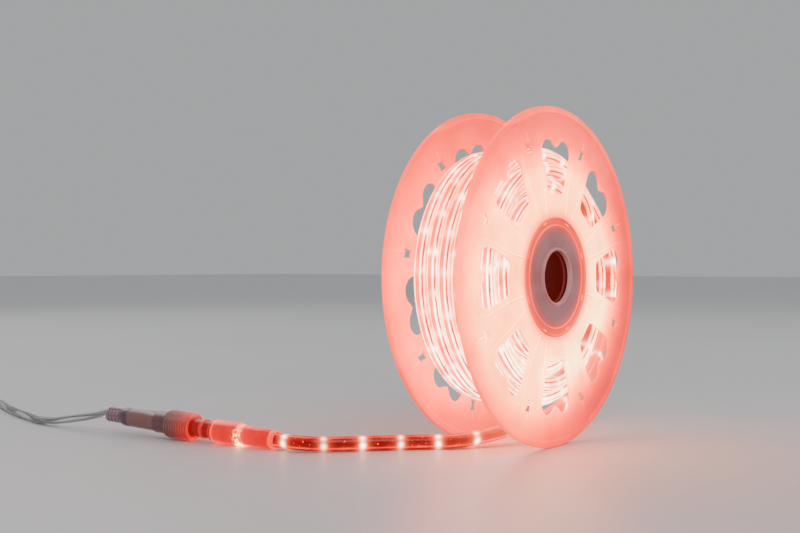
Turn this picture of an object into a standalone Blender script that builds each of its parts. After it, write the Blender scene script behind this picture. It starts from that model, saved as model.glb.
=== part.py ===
"""LED rope light wound on a translucent plastic reel, with its connector and power lead.

The reel stands on the rims of its two flanges, its axis along Y and the near flange at -Y.
The free end of the rope leaves the bottom of the winding, passes under the far flange and
lies on the floor with its screwed connector and the power lead. Metres, +Z up, origin on the
floor below the middle of the reel.
"""
import math

import bmesh
import bpy
from mathutils import Matrix, Vector

# Reel
FLANGE_RADIUS = 0.150
REEL_WIDTH = 0.078
RIM_WIDTH = 0.0075
RIM_THICKNESS = 0.0044
RIM_CHAMFER = 0.0005
WEB_THICKNESS = 0.0020
WEB_RECESS = 0.0006
BORE_RADIUS = 0.0232
HUB_WALL = 0.0022
HUB_LIP_HEIGHT = 0.0020
HUB_COLLAR_DEPTH = 0.0075
CORE_RADIUS = 0.0515
CORE_WALL = 0.0020
FIT_GAP = 0.0003
PATTERN_COUNT = 8
RIM_SEGMENTS = 72
HUB_SEGMENTS = 32
CORE_SEGMENTS = 56
FAR_FLANGE_STEPS = 2

# Heart-shaped windows of the flanges, about a centre line that runs outwards
WINDOW_INNER_RADIUS = 0.0732
WINDOW_LOBE_RADIUS = 0.0122
WINDOW_LOBE_CENTRE = 0.1088
WINDOW_LOBE_OFFSET = 0.0133
WINDOW_TOOTH_RADIUS = 0.1143
WINDOW_CORNER_RADIUS = 0.0070
WINDOW_CORNER_OFFSET = 0.0090

# Hourglass slots between the windows
SLOT_INNER_RADIUS = 0.1120
SLOT_OUTER_RADIUS = 0.1260
SLOT_END_WIDTH = 0.0090
SLOT_WAIST_WIDTH = 0.0036

# Rope and its winding
ROPE_DIAMETER = 0.0127
TURN_PITCH = 0.0129
LAYER_PITCH = 0.01275
LAYERS = 5
WINDING_GAP = 0.0005
GROOVE_DEPTH = 0.0026
WINDING_SEGMENTS = 44

# Connector, turned about one straight axis that starts at the rope
CONNECTOR_START = (-0.1647, 0.1438)
CONNECTOR_HEADING = math.radians(98.26)
SLEEVE_LENGTH = 0.0386
SLEEVE_ROPE_RADIUS = 0.0077
SLEEVE_END_RADIUS = 0.0089
SOCKET_BODY_LENGTH = 0.0288
SOCKET_BODY_RADIUS = 0.0102
SOCKET_NECK_LENGTH = 0.0250
SOCKET_NECK_RADIUS = 0.0082
SOCKET_RING_RADIUS = 0.0093
NUT_LENGTH = 0.0287
NUT_RADIUS = 0.01265
NUT_WALL = 0.0034
NUT_LIP_LENGTH = 0.0040
PLUG_COLLAR_LENGTH = 0.0149
PLUG_COLLAR_RADIUS = 0.0100
PLUG_BODY_LENGTH = 0.0330
PLUG_BODY_RADIUS = 0.0091
PLUG_BODY_END_RADIUS = 0.0086
PLUG_SHOULDER_LENGTH = 0.0118
RELIEF_LENGTH = 0.0175
RELIEF_RADIUS = 0.0065
RELIEF_RIBS = 4
RELIEF_GROOVE = 0.0008
FLOOR_CLEARANCE = 0.0001
TURNED_SEGMENTS = 24

# Power lead, its coil and the mains plug on its end
LEAD_DIAMETER = 0.0076
COIL_CENTRE = (-0.1900, 0.6640)
COIL_LOWER_TURNS = 3
COIL_MIDDLE_RADIUS = 0.0385
COIL_SEGMENTS = 36
MAINS_PLUG_LENGTH = 0.0400
MAINS_PLUG_WIDTH = 0.0200
MAINS_PLUG_HEIGHT = 0.0130
MAINS_PLUG_NOSE_WIDTH = 0.0110
PIN_RADIUS = 0.0020
PIN_LENGTH = 0.0190
PIN_SPACING = 0.0180
PIN_SEGMENTS = 12

# Points of the two routes that aren't coiled, in metres: x, y and height of the middle line
TAIL_ROUTE = [
    (0.0430, -0.0245, 0.0350),
    (0.0240, -0.0175, 0.0245),
    (0.0040, -0.0090, 0.0180),
    (-0.0170, 0.0000, 0.0138),
    (-0.0370, 0.0080, 0.0105),
    (-0.0550, 0.0178, 0.0080),
    (-0.0680, 0.0285, 0.0068),
    (-0.0790, 0.0410, 0.0066),
    (-0.0930, 0.0555, 0.0066),
    (-0.1100, 0.0710, 0.0066),
    (-0.1280, 0.0870, 0.0067),
    (-0.1440, 0.1010, 0.0069),
    (-0.1560, 0.1145, 0.0073),
]
LEAD_ROUTE = [
    (-0.1970, 0.3664, 0.0137),
    (-0.2008, 0.3935, 0.0088),
    (-0.2038, 0.4170, 0.0050),
    (-0.2032, 0.4430, 0.0039),
    (-0.1967, 0.4686, 0.0039),
    (-0.1860, 0.5080, 0.0039),
    (-0.1715, 0.5499, 0.0039),
    (-0.1575, 0.5850, 0.0039),
    (-0.1480, 0.6120, 0.0039),
]

# Sizes worked out from the ones above
AXIS_HEIGHT = FLANGE_RADIUS
HALF_WIDTH = REEL_WIDTH / 2
WEB_OUTER = HALF_WIDTH - WEB_RECESS
WEB_INNER = WEB_OUTER - WEB_THICKNESS
HUB_RADIUS = BORE_RADIUS + HUB_WALL
ROPE_RADIUS = ROPE_DIAMETER / 2
LEAD_RADIUS = LEAD_DIAMETER / 2
WINDING_HALF_WIDTH = WEB_INNER - WINDING_GAP
WINDING_INNER = CORE_RADIUS + WINDING_GAP
WINDING_RADIUS = CORE_RADIUS + LAYERS * LAYER_PITCH
# Turns of the outer layer, which leave room for the free end beside the last one
OUTER_TURNS = int((2 * WINDING_HALF_WIDTH - ROPE_RADIUS - FIT_GAP) / TURN_PITCH + 0.5)
STEP_ANGLE = 2 * math.pi / CORE_SEGMENTS
TAB_HALF_ANGLE = STEP_ANGLE / 2


def material(name, colour, roughness, alpha=1.0, metallic=0.0):
    """Make one Principled material."""
    mat = bpy.data.materials.new(name)
    mat.use_nodes = True
    shader = mat.node_tree.nodes["Principled BSDF"]
    shader.inputs["Base Color"].default_value = (*colour, 1.0)
    shader.inputs["Roughness"].default_value = roughness
    shader.inputs["Metallic"].default_value = metallic
    shader.inputs["Alpha"].default_value = alpha
    return mat


def add_object(name, mesh, mat):
    """Link a mesh into the scene as one named sub-part."""
    obj = bpy.data.objects.new(name, mesh)
    bpy.context.scene.collection.objects.link(obj)
    mesh.materials.append(mat)
    return obj


def mesh_from(bm, name, sharp_degrees=35.0):
    """Close a bmesh into a mesh with outward faces, smooth up to an angle."""
    bmesh.ops.recalc_face_normals(bm, faces=bm.faces)
    mesh = bpy.data.meshes.new(name)
    bm.to_mesh(mesh)
    bm.free()
    mesh.shade_smooth()
    mesh.set_sharp_from_angle(angle=math.radians(sharp_degrees))
    return mesh


def ring(bm, radius, depth, segments, first_angle=0.0):
    """Add a ring of vertices about the Y axis at a depth along Y."""
    verts = []
    for i in range(segments):
        angle = first_angle + 2 * math.pi * i / segments
        verts.append(bm.verts.new((radius * math.cos(angle), depth, radius * math.sin(angle))))
    return verts


def bridge(bm, loop_a, loop_b):
    """Join two rings of as many vertices with quads, and return the faces."""
    faces = []
    count = len(loop_a)
    for i in range(count):
        j = (i + 1) % count
        faces.append(bm.faces.new((loop_a[i], loop_a[j], loop_b[j], loop_b[i])))
    return faces


def turned(name, profile, mat, segments=TURNED_SEGMENTS, closed=False):
    """Turn a profile of (radius, depth) points about Y.

    A profile that isn't closed ends in a flat disc on each side.
    """
    bm = bmesh.new()
    loops = [ring(bm, radius, depth, segments) for radius, depth in profile]
    for loop_a, loop_b in zip(loops, loops[1:]):
        bridge(bm, loop_a, loop_b)
    if closed:
        bridge(bm, loops[-1], loops[0])
    else:
        bm.faces.new(loops[0])
        bm.faces.new(loops[-1])
    return add_object(name, mesh_from(bm, name), mat)


def arc(centre, radius, start_degrees, end_degrees, steps):
    """Points of an arc in the plane of an outline, ends included."""
    points = []
    for i in range(steps + 1):
        angle = math.radians(start_degrees + (end_degrees - start_degrees) * i / steps)
        points.append((centre[0] + radius * math.cos(angle), centre[1] + radius * math.sin(angle)))
    return points


def mirrored(half):
    """Close a half outline, given from the tooth to the inner end, about its centre line."""
    other = [(along, -across) for along, across in reversed(half) if abs(across) > 1e-6]
    return half + other


def window_outline():
    """Heart-shaped window: two lobes about a tooth, and straight sides to a narrower inner end."""
    lobe_centre = (WINDOW_LOBE_CENTRE, WINDOW_LOBE_OFFSET)
    corner_centre = (WINDOW_INNER_RADIUS + WINDOW_CORNER_RADIUS, WINDOW_CORNER_OFFSET)
    half = [(WINDOW_TOOTH_RADIUS, 0.0)]
    half += arc(lobe_centre, WINDOW_LOBE_RADIUS, -50, 110, 7)
    half += arc(corner_centre, WINDOW_CORNER_RADIUS, 110, 180, 3)
    return mirrored(half)


def slot_outline():
    """Hourglass slot, its long axis outwards."""
    middle = (SLOT_INNER_RADIUS + SLOT_OUTER_RADIUS) / 2
    end = SLOT_END_WIDTH / 2
    waist = SLOT_WAIST_WIDTH / 2
    half = [(SLOT_OUTER_RADIUS, end), (middle, waist), (SLOT_INNER_RADIUS, end)]
    return half + [(along, -across) for along, across in reversed(half)]


def tab_slot_outline():
    """Slot that a tab of the core passes through, a fit gap wider on each side."""
    inner = (CORE_RADIUS - CORE_WALL) * math.cos(TAB_HALF_ANGLE) - FIT_GAP
    outer = CORE_RADIUS + FIT_GAP
    half = CORE_RADIUS * math.sin(TAB_HALF_ANGLE) + FIT_GAP
    return [(outer, half), (inner, half), (inner, -half), (outer, -half)]


def placed_outline(outline, angle):
    """Turn an outline to an angle from the top, and give its (x, z) points."""
    sin_a = math.sin(angle)
    cos_a = math.cos(angle)
    return [(u * sin_a + v * cos_a, u * cos_a - v * sin_a) for u, v in outline]


def flange_holes(turn):
    """All the outlines that are cut from one flange, turned as a whole by an angle."""
    holes = []
    pitch = 2 * math.pi / PATTERN_COUNT
    for i in range(PATTERN_COUNT):
        holes.append(placed_outline(window_outline(), turn + i * pitch))
        holes.append(placed_outline(slot_outline(), turn + (i + 0.5) * pitch))
        holes.append(placed_outline(tab_slot_outline(), turn + (i + 0.5) * pitch))
    return holes


def fill_between(bm, loops):
    """Fill the flat area between an outer loop and the loops inside it with triangles."""
    edges = []
    for loop in loops:
        for i, vert in enumerate(loop):
            following = loop[(i + 1) % len(loop)]
            edge = bm.edges.get((vert, following)) or bm.edges.new((vert, following))
            edges.append(edge)
    bmesh.ops.triangle_fill(bm, use_beauty=True, use_dissolve=False, edges=edges)


def make_flange(name, side, turn, mat):
    """One flange: rim bead, pierced web, and hub with its lip and inner collar.

    side is -1 for the near flange and +1 for the far one.
    """
    bm = bmesh.new()
    rim_inner = FLANGE_RADIUS - RIM_WIDTH
    rim_face = HALF_WIDTH - RIM_THICKNESS
    rim_profile = [
        (rim_inner, WEB_OUTER),
        (rim_inner, HALF_WIDTH),
        (FLANGE_RADIUS - RIM_CHAMFER, HALF_WIDTH),
        (FLANGE_RADIUS, HALF_WIDTH - RIM_CHAMFER),
        (FLANGE_RADIUS, rim_face + RIM_CHAMFER),
        (FLANGE_RADIUS - RIM_CHAMFER, rim_face),
        (rim_inner, rim_face),
        (rim_inner, WEB_INNER),
    ]
    hub_profile = [
        (HUB_RADIUS, WEB_OUTER),
        (HUB_RADIUS, WEB_OUTER + HUB_LIP_HEIGHT),
        (BORE_RADIUS, WEB_OUTER + HUB_LIP_HEIGHT),
        (BORE_RADIUS, HALF_WIDTH - HUB_COLLAR_DEPTH),
        (HUB_RADIUS, HALF_WIDTH - HUB_COLLAR_DEPTH),
        (HUB_RADIUS, WEB_INNER),
    ]
    rim_loops = [ring(bm, radius, side * depth, RIM_SEGMENTS) for radius, depth in rim_profile]
    hub_loops = [ring(bm, radius, side * depth, HUB_SEGMENTS) for radius, depth in hub_profile]
    for loops in (rim_loops, hub_loops):
        for loop_a, loop_b in zip(loops, loops[1:]):
            bridge(bm, loop_a, loop_b)
    outer_holes = []
    inner_holes = []
    for outline in flange_holes(turn):
        outer = [bm.verts.new((x, side * WEB_OUTER, z)) for x, z in outline]
        inner = [bm.verts.new((x, side * WEB_INNER, z)) for x, z in outline]
        bridge(bm, outer, inner)
        outer_holes.append(outer)
        inner_holes.append(inner)
    fill_between(bm, [rim_loops[0], hub_loops[0]] + outer_holes)
    fill_between(bm, [rim_loops[-1], hub_loops[-1]] + inner_holes)
    flange = add_object(name, mesh_from(bm, name), mat)
    flange.location = (0, 0, AXIS_HEIGHT)
    return flange


def make_core(mat):
    """Barrel between the flanges, with tabs that pass through the slots of both."""
    bm = bmesh.new()
    end = WEB_INNER - FIT_GAP
    tab_end = WEB_OUTER - FIT_GAP
    first = math.pi / PATTERN_COUNT - TAB_HALF_ANGLE
    outer = [ring(bm, CORE_RADIUS, side * end, CORE_SEGMENTS, first) for side in (-1, 1)]
    inner = [ring(bm, CORE_RADIUS - CORE_WALL, side * end, CORE_SEGMENTS, first) for side in (-1, 1)]
    bridge(bm, outer[0], outer[1])
    bridge(bm, inner[0], inner[1])
    steps_per_tab = CORE_SEGMENTS // PATTERN_COUNT
    for side, outer_loop, inner_loop in ((-1, outer[0], inner[0]), (1, outer[1], inner[1])):
        faces = bridge(bm, outer_loop, inner_loop)
        shift = FAR_FLANGE_STEPS if side > 0 else 0
        tabs = [faces[(i * steps_per_tab + shift) % CORE_SEGMENTS] for i in range(PATTERN_COUNT)]
        for tab in tabs:
            grown = bmesh.ops.extrude_face_region(bm, geom=[tab])
            bmesh.ops.delete(bm, geom=[tab], context="FACES_ONLY")
            verts = [item for item in grown["geom"] if isinstance(item, bmesh.types.BMVert)]
            bmesh.ops.translate(bm, verts=verts, vec=(0, side * (tab_end - end), 0))
    core = add_object("reel_core", mesh_from(bm, "reel_core"), mat)
    core.location = (0, 0, AXIS_HEIGHT)
    return core


def layer_edge(side, layer):
    """Distance of a layer's edge from the middle: its turns start at one flange and stop short of the other."""
    starts_here = (side > 0) == (layer % 2 == 0)
    return WINDING_HALF_WIDTH if starts_here else OUTER_TURNS * TURN_PITCH - WINDING_HALF_WIDTH


def winding_end(side):
    """Profile of one end of the winding, from the core outwards: one wave for each layer."""
    points = [(WINDING_INNER, side * (layer_edge(side, 0) - GROOVE_DEPTH))]
    for layer in range(LAYERS):
        axis = CORE_RADIUS + (layer + 0.5) * LAYER_PITCH
        middle = layer_edge(side, layer) - TURN_PITCH / 2
        outermost = layer == LAYERS - 1
        for degrees in (-50, 0) if outermost else (-50, 0, 50):
            angle = math.radians(degrees)
            radius = axis + ROPE_RADIUS * math.sin(angle)
            points.append((radius, side * (middle + ROPE_RADIUS * math.cos(angle))))
    return points


def make_winding(mat):
    """Wound rope as one turned ring, its turns as waves on the outside and on both ends."""
    outer_axis = WINDING_RADIUS - LAYER_PITCH / 2
    profile = []
    for turn in range(OUTER_TURNS):
        middle = WINDING_HALF_WIDTH - (turn + 0.5) * TURN_PITCH
        for degrees in (35, 70, 110, 145):
            angle = math.radians(degrees)
            radius = outer_axis + ROPE_RADIUS * math.sin(angle)
            profile.append((radius, middle + ROPE_RADIUS * math.cos(angle)))
    profile += reversed(winding_end(-1))
    profile += winding_end(1)
    winding = turned("rope_coil", profile, mat, WINDING_SEGMENTS, closed=True)
    winding.location = (0, 0, AXIS_HEIGHT)
    return winding


def catmull_rom(points, per_span):
    """Points of a smooth curve through a list of points."""
    spans = [points[0]] + points + [points[-1]]
    smooth = []
    for i in range(len(points) - 1):
        p0, p1, p2, p3 = (Vector(spans[i + k]) for k in range(4))
        for step in range(per_span):
            t = step / per_span
            smooth.append(0.5 * (2 * p1 + (p2 - p0) * t
                                 + (2 * p0 - 5 * p1 + 4 * p2 - p3) * t * t
                                 + (3 * p1 - p0 - 3 * p2 + p3) * t ** 3))
    smooth.append(Vector(points[-1]))
    return smooth


def evenly_spaced(points, spacing):
    """Points along a route about a spacing apart, both ends included."""
    lengths = [0.0]
    for a, b in zip(points, points[1:]):
        lengths.append(lengths[-1] + (b - a).length)
    count = max(2, round(lengths[-1] / spacing))
    chosen = []
    index = 0
    for i in range(count + 1):
        target = lengths[-1] * i / count
        while index < len(points) - 2 and lengths[index + 1] < target:
            index += 1
        span = lengths[index + 1] - lengths[index]
        chosen.append(points[index].lerp(points[index + 1], (target - lengths[index]) / span))
    return chosen


def cord(name, points, diameter, mat, sides_resolution):
    """Round tube along a route, with filled caps."""
    curve = bpy.data.curves.new(name, "CURVE")
    curve.dimensions = "3D"
    curve.bevel_depth = diameter / 2
    curve.bevel_resolution = sides_resolution
    curve.use_fill_caps = True
    curve.materials.append(mat)
    spline = curve.splines.new("POLY")
    spline.points.add(len(points) - 1)
    for point, place in zip(spline.points, points):
        point.co = (*place, 1.0)
    spline.use_smooth = True
    obj = bpy.data.objects.new(name, curve)
    bpy.context.scene.collection.objects.link(obj)
    return obj


def tail_start_points():
    """The last turn's end, which lies on the near side of the winding down to where it leaves it."""
    beside = -WINDING_HALF_WIDTH + ROPE_RADIUS + FIT_GAP
    last_turn = WINDING_HALF_WIDTH - (OUTER_TURNS - 0.5) * TURN_PITCH
    outer_axis = WINDING_RADIUS - LAYER_PITCH / 2
    reach = ROPE_DIAMETER + 2 * FIT_GAP
    radius = outer_axis + math.sqrt(reach ** 2 - (last_turn - beside) ** 2)
    points = []
    for degrees in range(100, 156, 11):
        angle = math.radians(degrees)
        points.append((radius * math.sin(angle), beside, AXIS_HEIGHT + radius * math.cos(angle)))
    return points


def connector_axis():
    """Start and direction of the connector, which rests on its socket and on its nut."""
    socket_start = SLEEVE_LENGTH + FIT_GAP
    nut_start = socket_start + SOCKET_BODY_LENGTH + SOCKET_NECK_LENGTH
    rise = (NUT_RADIUS - SOCKET_BODY_RADIUS) / (nut_start - socket_start)
    height = SOCKET_BODY_RADIUS + FLOOR_CLEARANCE - rise * socket_start
    start = Vector((*CONNECTOR_START, height))
    flat = math.cos(math.atan(rise))
    direction = Vector((flat * math.cos(CONNECTOR_HEADING), flat * math.sin(CONNECTOR_HEADING),
                        math.sin(math.atan(rise))))
    return start, direction


def along_connector(distance):
    """Point on the connector's axis at a distance from the rope."""
    start, direction = connector_axis()
    return start + direction * distance


def connector_matrix(distance):
    """Place of a piece that was turned about Y, at a distance along the connector."""
    direction = connector_axis()[1]
    turn = direction.to_track_quat("Y", "Z").to_matrix().to_4x4()
    return Matrix.Translation(along_connector(distance)) @ turn


def make_connector(clear, tinted):
    """Sleeve, socket, coupling nut and the lead's plug half, all turned about one axis."""
    sleeve = turned("rope_end_sleeve", [
        (SLEEVE_ROPE_RADIUS - RIM_CHAMFER, 0.0),
        (SLEEVE_ROPE_RADIUS, RIM_CHAMFER),
        (SLEEVE_END_RADIUS, SLEEVE_LENGTH),
    ], tinted)
    sleeve.matrix_world = connector_matrix(0.0)

    socket_start = SLEEVE_LENGTH + FIT_GAP
    nut_bore = NUT_RADIUS - NUT_WALL
    thread_radius = nut_bore - FIT_GAP
    thread_end = SOCKET_BODY_LENGTH + SOCKET_NECK_LENGTH + NUT_LENGTH / 2
    ring_length = SOCKET_NECK_LENGTH / 7
    socket = turned("socket_connector", [
        (SOCKET_BODY_RADIUS - RIM_CHAMFER, 0.0),
        (SOCKET_BODY_RADIUS, RIM_CHAMFER),
        (SOCKET_BODY_RADIUS, SOCKET_BODY_LENGTH - RIM_CHAMFER),
        (SOCKET_RING_RADIUS, SOCKET_BODY_LENGTH),
        (SOCKET_RING_RADIUS, SOCKET_BODY_LENGTH + ring_length),
        (SOCKET_NECK_RADIUS, SOCKET_BODY_LENGTH + ring_length),
        (SOCKET_NECK_RADIUS, SOCKET_BODY_LENGTH + 3 * ring_length),
        (thread_radius, SOCKET_BODY_LENGTH + 3 * ring_length),
        (thread_radius, SOCKET_BODY_LENGTH + 4 * ring_length),
        (SOCKET_NECK_RADIUS, SOCKET_BODY_LENGTH + 4 * ring_length),
        (SOCKET_NECK_RADIUS, SOCKET_BODY_LENGTH + SOCKET_NECK_LENGTH),
        (thread_radius, SOCKET_BODY_LENGTH + SOCKET_NECK_LENGTH),
        (thread_radius, thread_end),
    ], tinted)
    socket.matrix_world = connector_matrix(socket_start)

    nut_start = socket_start + SOCKET_BODY_LENGTH + SOCKET_NECK_LENGTH
    stem_radius = nut_bore - 3 * FIT_GAP
    lip_bore = stem_radius + FIT_GAP
    nut = turned("coupling_nut", [
        (NUT_RADIUS - RIM_CHAMFER, 0.0),
        (NUT_RADIUS, RIM_CHAMFER),
        (NUT_RADIUS, NUT_LENGTH - RIM_CHAMFER),
        (NUT_RADIUS - RIM_CHAMFER, NUT_LENGTH),
        (lip_bore, NUT_LENGTH),
        (lip_bore, NUT_LENGTH - NUT_LIP_LENGTH),
        (nut_bore, NUT_LENGTH - NUT_LIP_LENGTH),
        (nut_bore, 0.0),
    ], clear, closed=True)
    nut.matrix_world = connector_matrix(nut_start)

    stem_start = socket_start + thread_end + FIT_GAP
    stem_length = NUT_LENGTH / 2
    collar_end = stem_length + PLUG_COLLAR_LENGTH
    body_end = collar_end + PLUG_BODY_LENGTH
    shoulder_end = body_end + PLUG_SHOULDER_LENGTH
    profile = [
        (stem_radius, 0.0),
        (stem_radius, stem_length),
        (PLUG_COLLAR_RADIUS, stem_length),
        (PLUG_COLLAR_RADIUS, collar_end),
        (PLUG_BODY_RADIUS, collar_end + RIM_CHAMFER),
        (PLUG_BODY_END_RADIUS, body_end),
        (PLUG_BODY_END_RADIUS, body_end + PLUG_SHOULDER_LENGTH / 2),
        (RELIEF_RADIUS, shoulder_end),
    ]
    rib_pitch = RELIEF_LENGTH / RELIEF_RIBS
    for rib in range(RELIEF_RIBS):
        rib_start = shoulder_end + rib * rib_pitch
        profile += [
            (RELIEF_RADIUS - RELIEF_GROOVE, rib_start + 0.2 * rib_pitch),
            (RELIEF_RADIUS - RELIEF_GROOVE, rib_start + 0.4 * rib_pitch),
            (RELIEF_RADIUS, rib_start + 0.55 * rib_pitch),
            (RELIEF_RADIUS, rib_start + rib_pitch),
        ]
    plug_half = turned("lead_connector", profile, clear)
    plug_half.matrix_world = connector_matrix(stem_start)
    return stem_start + shoulder_end + RELIEF_LENGTH


def make_rope_tail(mat):
    """Free end of the rope, from the winding to the sleeve."""
    end = along_connector(-FIT_GAP)
    before = along_connector(-ROPE_DIAMETER)
    route = tail_start_points() + TAIL_ROUTE + [tuple(before)]
    points = evenly_spaced(catmull_rom(route, 6), 2 * ROPE_DIAMETER) + [end]
    return cord("rope_tail", points, ROPE_DIAMETER, mat, 3)


def make_power_lead(relief_end, mat):
    """Power lead from its strain relief along the floor to its coil."""
    start = along_connector(relief_end + FIT_GAP)
    after = along_connector(relief_end + LEAD_DIAMETER)
    route = [tuple(after)] + LEAD_ROUTE + [tuple(coil_exit(1))]
    points = [start] + evenly_spaced(catmull_rom(route, 6), 2 * LEAD_DIAMETER)
    return cord("power_lead", points, LEAD_DIAMETER, mat, 2)


def coil_radii():
    """Inner and outer radius of the lead's coil."""
    half = COIL_LOWER_TURNS * LEAD_DIAMETER / 2
    return COIL_MIDDLE_RADIUS - half, COIL_MIDDLE_RADIUS + half


def make_lead_coil(mat):
    """Coil of the rest of the lead: three turns on the floor and two in the grooves on them."""
    inner, outer = coil_radii()
    rise = LEAD_DIAMETER * math.sin(math.radians(60))
    low = FLOOR_CLEARANCE
    wide_top = low + LEAD_DIAMETER * 0.75
    top = low + LEAD_DIAMETER + rise
    inset = LEAD_RADIUS
    bevel = LEAD_RADIUS / 2
    profile = [
        (outer - bevel, low),
        (outer, low + bevel),
        (outer, wide_top),
        (outer - inset, top - bevel),
        (outer - inset - bevel, top),
        (inner + inset + bevel, top),
        (inner + inset, top - bevel),
        (inner, wide_top),
        (inner, low + bevel),
        (inner + bevel, low),
    ]
    coil = turned("power_lead_coil", profile, mat, COIL_SEGMENTS, closed=True)
    coil.matrix_world = (Matrix.Translation((*COIL_CENTRE, 0.0))
                         @ Matrix.Rotation(math.radians(90), 4, "X"))
    return coil


def coil_exit(side):
    """Where the lead is just clear of its coil, on the side of -X (-1) or +X (1), along Y."""
    outer = coil_radii()[1]
    turn_radius = outer - LEAD_RADIUS
    beyond = math.sqrt((outer + FIT_GAP) ** 2 - (turn_radius - LEAD_RADIUS) ** 2)
    return Vector((COIL_CENTRE[0] + side * turn_radius, COIL_CENTRE[1] - beyond,
                   LEAD_RADIUS + FLOOR_CLEARANCE))


def make_mains_plug(body_mat, pin_mat, lead_mat):
    """Flat two-pin plug beside the coil, with the last of the lead."""
    start = coil_exit(-1)
    height = MAINS_PLUG_HEIGHT / 2 + FLOOR_CLEARANCE
    entry = Vector((start.x - 0.004, start.y - 0.040, height))
    before = entry + Vector((0, LEAD_DIAMETER, 0))
    route = [tuple(start), (start.x - 0.001, start.y - 0.012, start.z + 0.0005), tuple(before)]
    points = evenly_spaced(catmull_rom(route, 6), LEAD_DIAMETER) + [entry]
    cord("power_lead_end", points, LEAD_DIAMETER, lead_mat, 2)

    rear = entry.y - FIT_GAP
    face = rear - MAINS_PLUG_LENGTH
    nose = MAINS_PLUG_NOSE_WIDTH / 2
    half = MAINS_PLUG_WIDTH / 2
    outline = [
        (-nose, rear),
        (-half, rear - MAINS_PLUG_LENGTH * 0.45),
        (-half, face),
        (half, face),
        (half, rear - MAINS_PLUG_LENGTH * 0.45),
        (nose, rear),
    ]
    bm = bmesh.new()
    verts = [bm.verts.new((entry.x + x, y, FLOOR_CLEARANCE)) for x, y in outline]
    base = bm.faces.new(verts)
    grown = bmesh.ops.extrude_face_region(bm, geom=[base])
    top = [item for item in grown["geom"] if isinstance(item, bmesh.types.BMVert)]
    bmesh.ops.translate(bm, verts=top, vec=(0, 0, MAINS_PLUG_HEIGHT))
    bmesh.ops.bevel(bm, geom=bm.edges[:], offset=0.0018, segments=1, profile=0.5, affect="EDGES")
    add_object("mains_plug", mesh_from(bm, "mains_plug"), body_mat)

    for label, side in (("left", -1), ("right", 1)):
        pin = turned(f"plug_pin_{label}", [
            (PIN_RADIUS, 0.0),
            (PIN_RADIUS, PIN_LENGTH - PIN_RADIUS / 2),
            (PIN_RADIUS / 2, PIN_LENGTH),
        ], pin_mat, PIN_SEGMENTS)
        pin.matrix_world = (
            Matrix.Translation((entry.x + side * PIN_SPACING / 2 * 0.7, face - FIT_GAP, height))
            @ Matrix.Rotation(math.radians(180), 4, "Z"))


def main():
    """Remove what the scene holds and build every piece."""
    for obj in list(bpy.data.objects):
        bpy.data.objects.remove(obj, do_unlink=True)
    reel_mat = material("reel_plastic", (0.96, 0.52, 0.47), 0.35)
    rope_mat = material("lit_rope", (0.98, 0.36, 0.30), 0.22)
    tinted_mat = material("lit_clear_plastic", (0.95, 0.30, 0.25), 0.25)
    clear_mat = material("clear_plastic", (0.80, 0.72, 0.70), 0.25)
    lead_mat = material("clear_lead", (0.78, 0.78, 0.79), 0.20)
    pin_mat = material("pin_metal", (0.80, 0.80, 0.78), 0.25, metallic=1.0)

    make_flange("reel_flange_near", -1, 0.0, reel_mat)
    make_flange("reel_flange_far", 1, -FAR_FLANGE_STEPS * STEP_ANGLE, reel_mat)
    make_core(reel_mat)
    make_winding(rope_mat)
    make_rope_tail(rope_mat)
    relief_end = make_connector(clear_mat, tinted_mat)
    make_power_lead(relief_end, lead_mat)
    make_lead_coil(lead_mat)
    make_mains_plug(clear_mat, pin_mat, lead_mat)


main()
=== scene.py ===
"""Looks of the LED rope light on its reel: lit rope, frosted flanges, connector and power lead.

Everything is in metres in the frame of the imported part: +Z up, the reel's axis along Y.
"""
import logging
import math
from dataclasses import dataclass
from enum import Enum

import bmesh
import bpy
import numpy as np
from mathutils import Matrix, Vector


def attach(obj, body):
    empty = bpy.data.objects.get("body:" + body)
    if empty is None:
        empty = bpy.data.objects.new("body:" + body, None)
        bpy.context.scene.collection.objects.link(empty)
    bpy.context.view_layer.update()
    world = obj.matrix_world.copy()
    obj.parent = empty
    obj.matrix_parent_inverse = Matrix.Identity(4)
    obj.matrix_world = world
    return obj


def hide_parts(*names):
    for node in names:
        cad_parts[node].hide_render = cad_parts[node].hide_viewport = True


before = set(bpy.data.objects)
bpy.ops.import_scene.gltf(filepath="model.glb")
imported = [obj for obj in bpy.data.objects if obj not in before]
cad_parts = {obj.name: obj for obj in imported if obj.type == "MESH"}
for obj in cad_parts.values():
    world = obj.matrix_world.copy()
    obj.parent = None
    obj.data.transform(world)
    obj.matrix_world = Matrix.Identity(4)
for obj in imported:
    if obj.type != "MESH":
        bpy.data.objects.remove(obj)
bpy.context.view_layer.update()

LOG = logging.getLogger("rope_light")
Colour = tuple[float, float, float]
Point2 = tuple[float, float]
Stops = tuple[tuple[float, Colour], ...]
Socket = bpy.types.NodeSocket
Piece = bpy.types.Object
Material = bpy.types.Material

FULL_TURN = 2 * math.pi
FLOOR_CLEARANCE = 0.0001
FIT_GAP = 0.0003
AXIS_HEIGHT = 0.150
FLANGE_RADIUS = 0.150
CORE_RADIUS = 0.0515
CORE_FACETS = 56
FAR_PATTERN_TURN = -2 * FULL_TURN / CORE_FACETS
ROPE_DIAMETER = 0.0127
LIGHT_PITCH = 0.0333
FREE_PHASE = 0.0014
LEAD_DIAMETER = 0.0076
CONDUCTOR_DIAMETER = 0.0021
BRIGHT = 8.0
WHITE = (1.0, 1.0, 1.0)
BLACK = (0.0, 0.0, 0.0)


class Side(Enum):
    """Which flange of the reel."""

    NEAR = -1
    FAR = 1


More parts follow.
